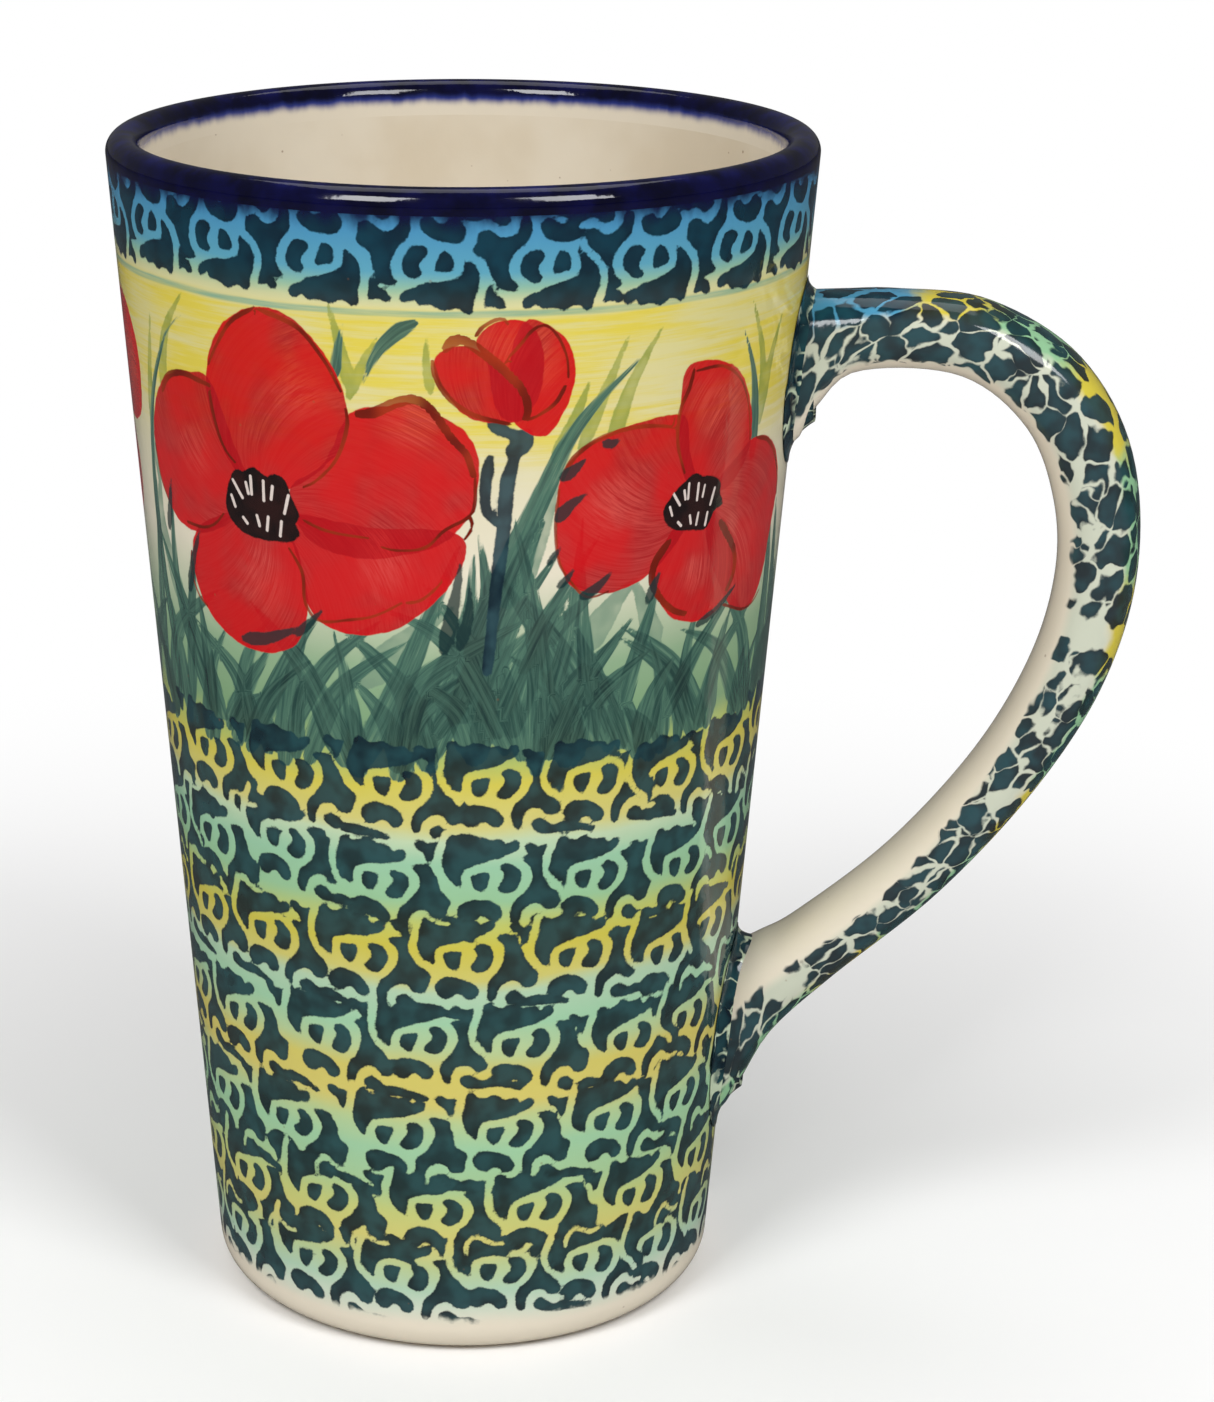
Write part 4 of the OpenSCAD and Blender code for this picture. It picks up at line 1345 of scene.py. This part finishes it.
def makeCobaltGlaze():
    # the dark rim: nearly black where thick, blue where it thins over the lip
    material, tree, shader = newMaterial("cobaltGlaze")
    place = inMillimetres(tree)
    x, y, z = parts(tree, place)
    cloud = grain(tree, place, 0.22, 3.0, 0.6)
    thin = calc(tree, "MULTIPLY", ease(tree, z, cup["lipTop"] - 1.0, cup["lipTop"]),
                ease(tree, cloud, 0.4, 0.75))
    colour = blend(tree, ease(tree, cloud, 0.3, 0.7), colours["cobaltDeep"], colours["cobalt"])
    colour = blend(tree, calc(tree, "MULTIPLY", thin, 0.35), colour, tint(26, 32, 112))
    # inside the lip it thins out to blue and then to the cream coat
    radius = fromAxis(tree, x, y)
    within = ease(tree, radius, wallR(cup["lipTop"], cup["coat"] + cup["clay"] / 2),
                  wallR(cup["lipTop"], cup["clay"]))
    run = grain(tree, place3(tree, calc(tree, "MULTIPLY", x, 0.5), calc(tree, "MULTIPLY", y, 0.5),
                             calc(tree, "MULTIPLY", z, 0.15)), 1.0, 3.0)
    low = calc(tree, "MULTIPLY_ADD", run, -0.9, z)
    fade = calc(tree, "MULTIPLY", ease(tree, low, cup["lipTop"] - 1.6, cup["lipTop"] - 4.2), within)
    colour = blend(tree, ease(tree, fade, 0.0, 0.45), colour, tint(44, 56, 128))
    colour = blend(tree, ease(tree, fade, 0.3, 1.0), colour, colours["cream"])
    plug(tree, colour, shader.inputs["Base Color"])
    glazeFinish(tree, shader, place, 1.3)
    return material


def makeCreamGlaze():
    material, tree, shader = newMaterial("creamGlaze")
    place = inMillimetres(tree)
    cloud = ease(tree, grain(tree, place, 0.05, 3.0, 0.6), 0.3, 0.7)
    colour = blend(tree, cloud, colours["cream"], colours["creamWarm"])
    colour = speckled(tree, colour, place, 0.3, 0.6)
    plug(tree, colour, shader.inputs["Base Color"])
    glazeFinish(tree, shader, place)
    return material


def makeBareClay():
    # unglazed stoneware on the foot ring: dry, gritty, slightly toasted
    material, tree, shader = newMaterial("bareClay")
    place = inMillimetres(tree)
    toast = ease(tree, grain(tree, place, 0.12, 3.0, 0.6), 0.3, 0.7)
    colour = blend(tree, toast, tint(204, 190, 164), tint(186, 162, 128))
    grit = grain(tree, place, 5.0, 3.0, 0.7)
    colour = blend(tree, calc(tree, "MULTIPLY", ease(tree, grit, 0.5, 0.75), 0.35), colour,
                   tint(150, 128, 98))
    colour = speckled(tree, colour, place, 0.4, 0.7)
    plug(tree, colour, shader.inputs["Base Color"])
    plug(tree, ease(tree, grit, 0.2, 0.8, 0.75, 0.95), shader.inputs["Roughness"])
    bumped = add(tree, "Bump", {"Height": grit, "Distance": 0.00008, "Strength": 0.8})
    plug(tree, bumped.outputs[0], shader.inputs["Normal"])
    return material


def makeFloor():
    bareScene()
    bpy.ops.mesh.primitive_plane_add(size=6)
    floor = bpy.context.object
    floor.name = "paleFloor"
    material, tree, shader = newMaterial("palePaper")
    place = inMillimetres(tree)
    colour = blend(tree, grain(tree, place, 0.01, 2.0), (0.92, 0.92, 0.92, 1), (0.94, 0.94, 0.935, 1))
    # painted dark reflection: to glossy rays the paper is near black, so the glaze mirrors a dark surround instead of
    # the pale floor
    gloss = add(tree, "LightPath").outputs["Is Glossy Ray"]
    colour = blend(tree, gloss, colour, (0.08, 0.08, 0.085, 1))
    plug(tree, colour, shader.inputs["Base Color"])
    shader.inputs["Roughness"].default_value = 0.9
    # away from the mug the paper runs out to plain white
    x, y, _ = parts(tree, place)
    away = fromAxis(tree, x, y)
    white = add(tree, "Emission", {"Color": (1, 1, 1, 1), "Strength": 1.0})
    fade = calc(tree, "MULTIPLY", ease(tree, away, 50.0, 260.0),
                add(tree, "LightPath").outputs["Is Camera Ray"])
    mixed = add(tree, "MixShader", {0: fade, 1: shader.outputs[0], 2: white.outputs[0]})
    plug(tree, mixed.outputs[0], tree.nodes["Material Output"].inputs["Surface"])
    floor.data.materials.append(material)


setStudio()
makeFloor()
stampedWall, floweredWall = makeWall()
print("wall turned:", len(stampedWall.data.polygons), len(floweredWall.data.polygons))
rimCoat, linerCoat = makeRim(), makeLiner()
handleCoat, along, around, handleLength = makeHandle()
upperSlip = makeSlip("upperSlip", slipJoints["upper"])
lowerSlip = makeSlip("lowerSlip", slipJoints["lower"])
print("handle and joints shaped, strap length", round(handleLength, 1))
for wall in (stampedWall, floweredWall):
    paintWall(wall)
keep(handleCoat, "strapPlace", np.column_stack([along, around, np.abs(around)]))
print("painting laid on")

paintedGlaze, creamGlaze, jointGlaze, bareClay = makePaintedGlaze(), makeCreamGlaze(), makeJointGlaze(), makeBareClay()
ownFor(stampedWall, paintedGlaze, "painted_glaze", "outer_glaze")
ownFor(floweredWall, paintedGlaze, "painted_glaze", "outer_glaze")
ownFor(rimCoat, makeCobaltGlaze(), "cobalt_glaze", "rim_glaze")
ownFor(linerCoat, creamGlaze, "cream_glaze", "liner_glaze")
ownFor(handleCoat, makeStampedGlaze(), "stamped_glaze", "handle_glaze")
ownFor(upperSlip, jointGlaze, "joint_slip", "upper_joint")
ownFor(lowerSlip, jointGlaze, "joint_slip", "lower_joint")
for name, material in (("cup", bareClay), ("handle", bareClay), ("base_glaze", creamGlaze)):
    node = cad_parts[name]
    node.data.materials.clear()
    node.data.materials.append(material)
print("glazes on")
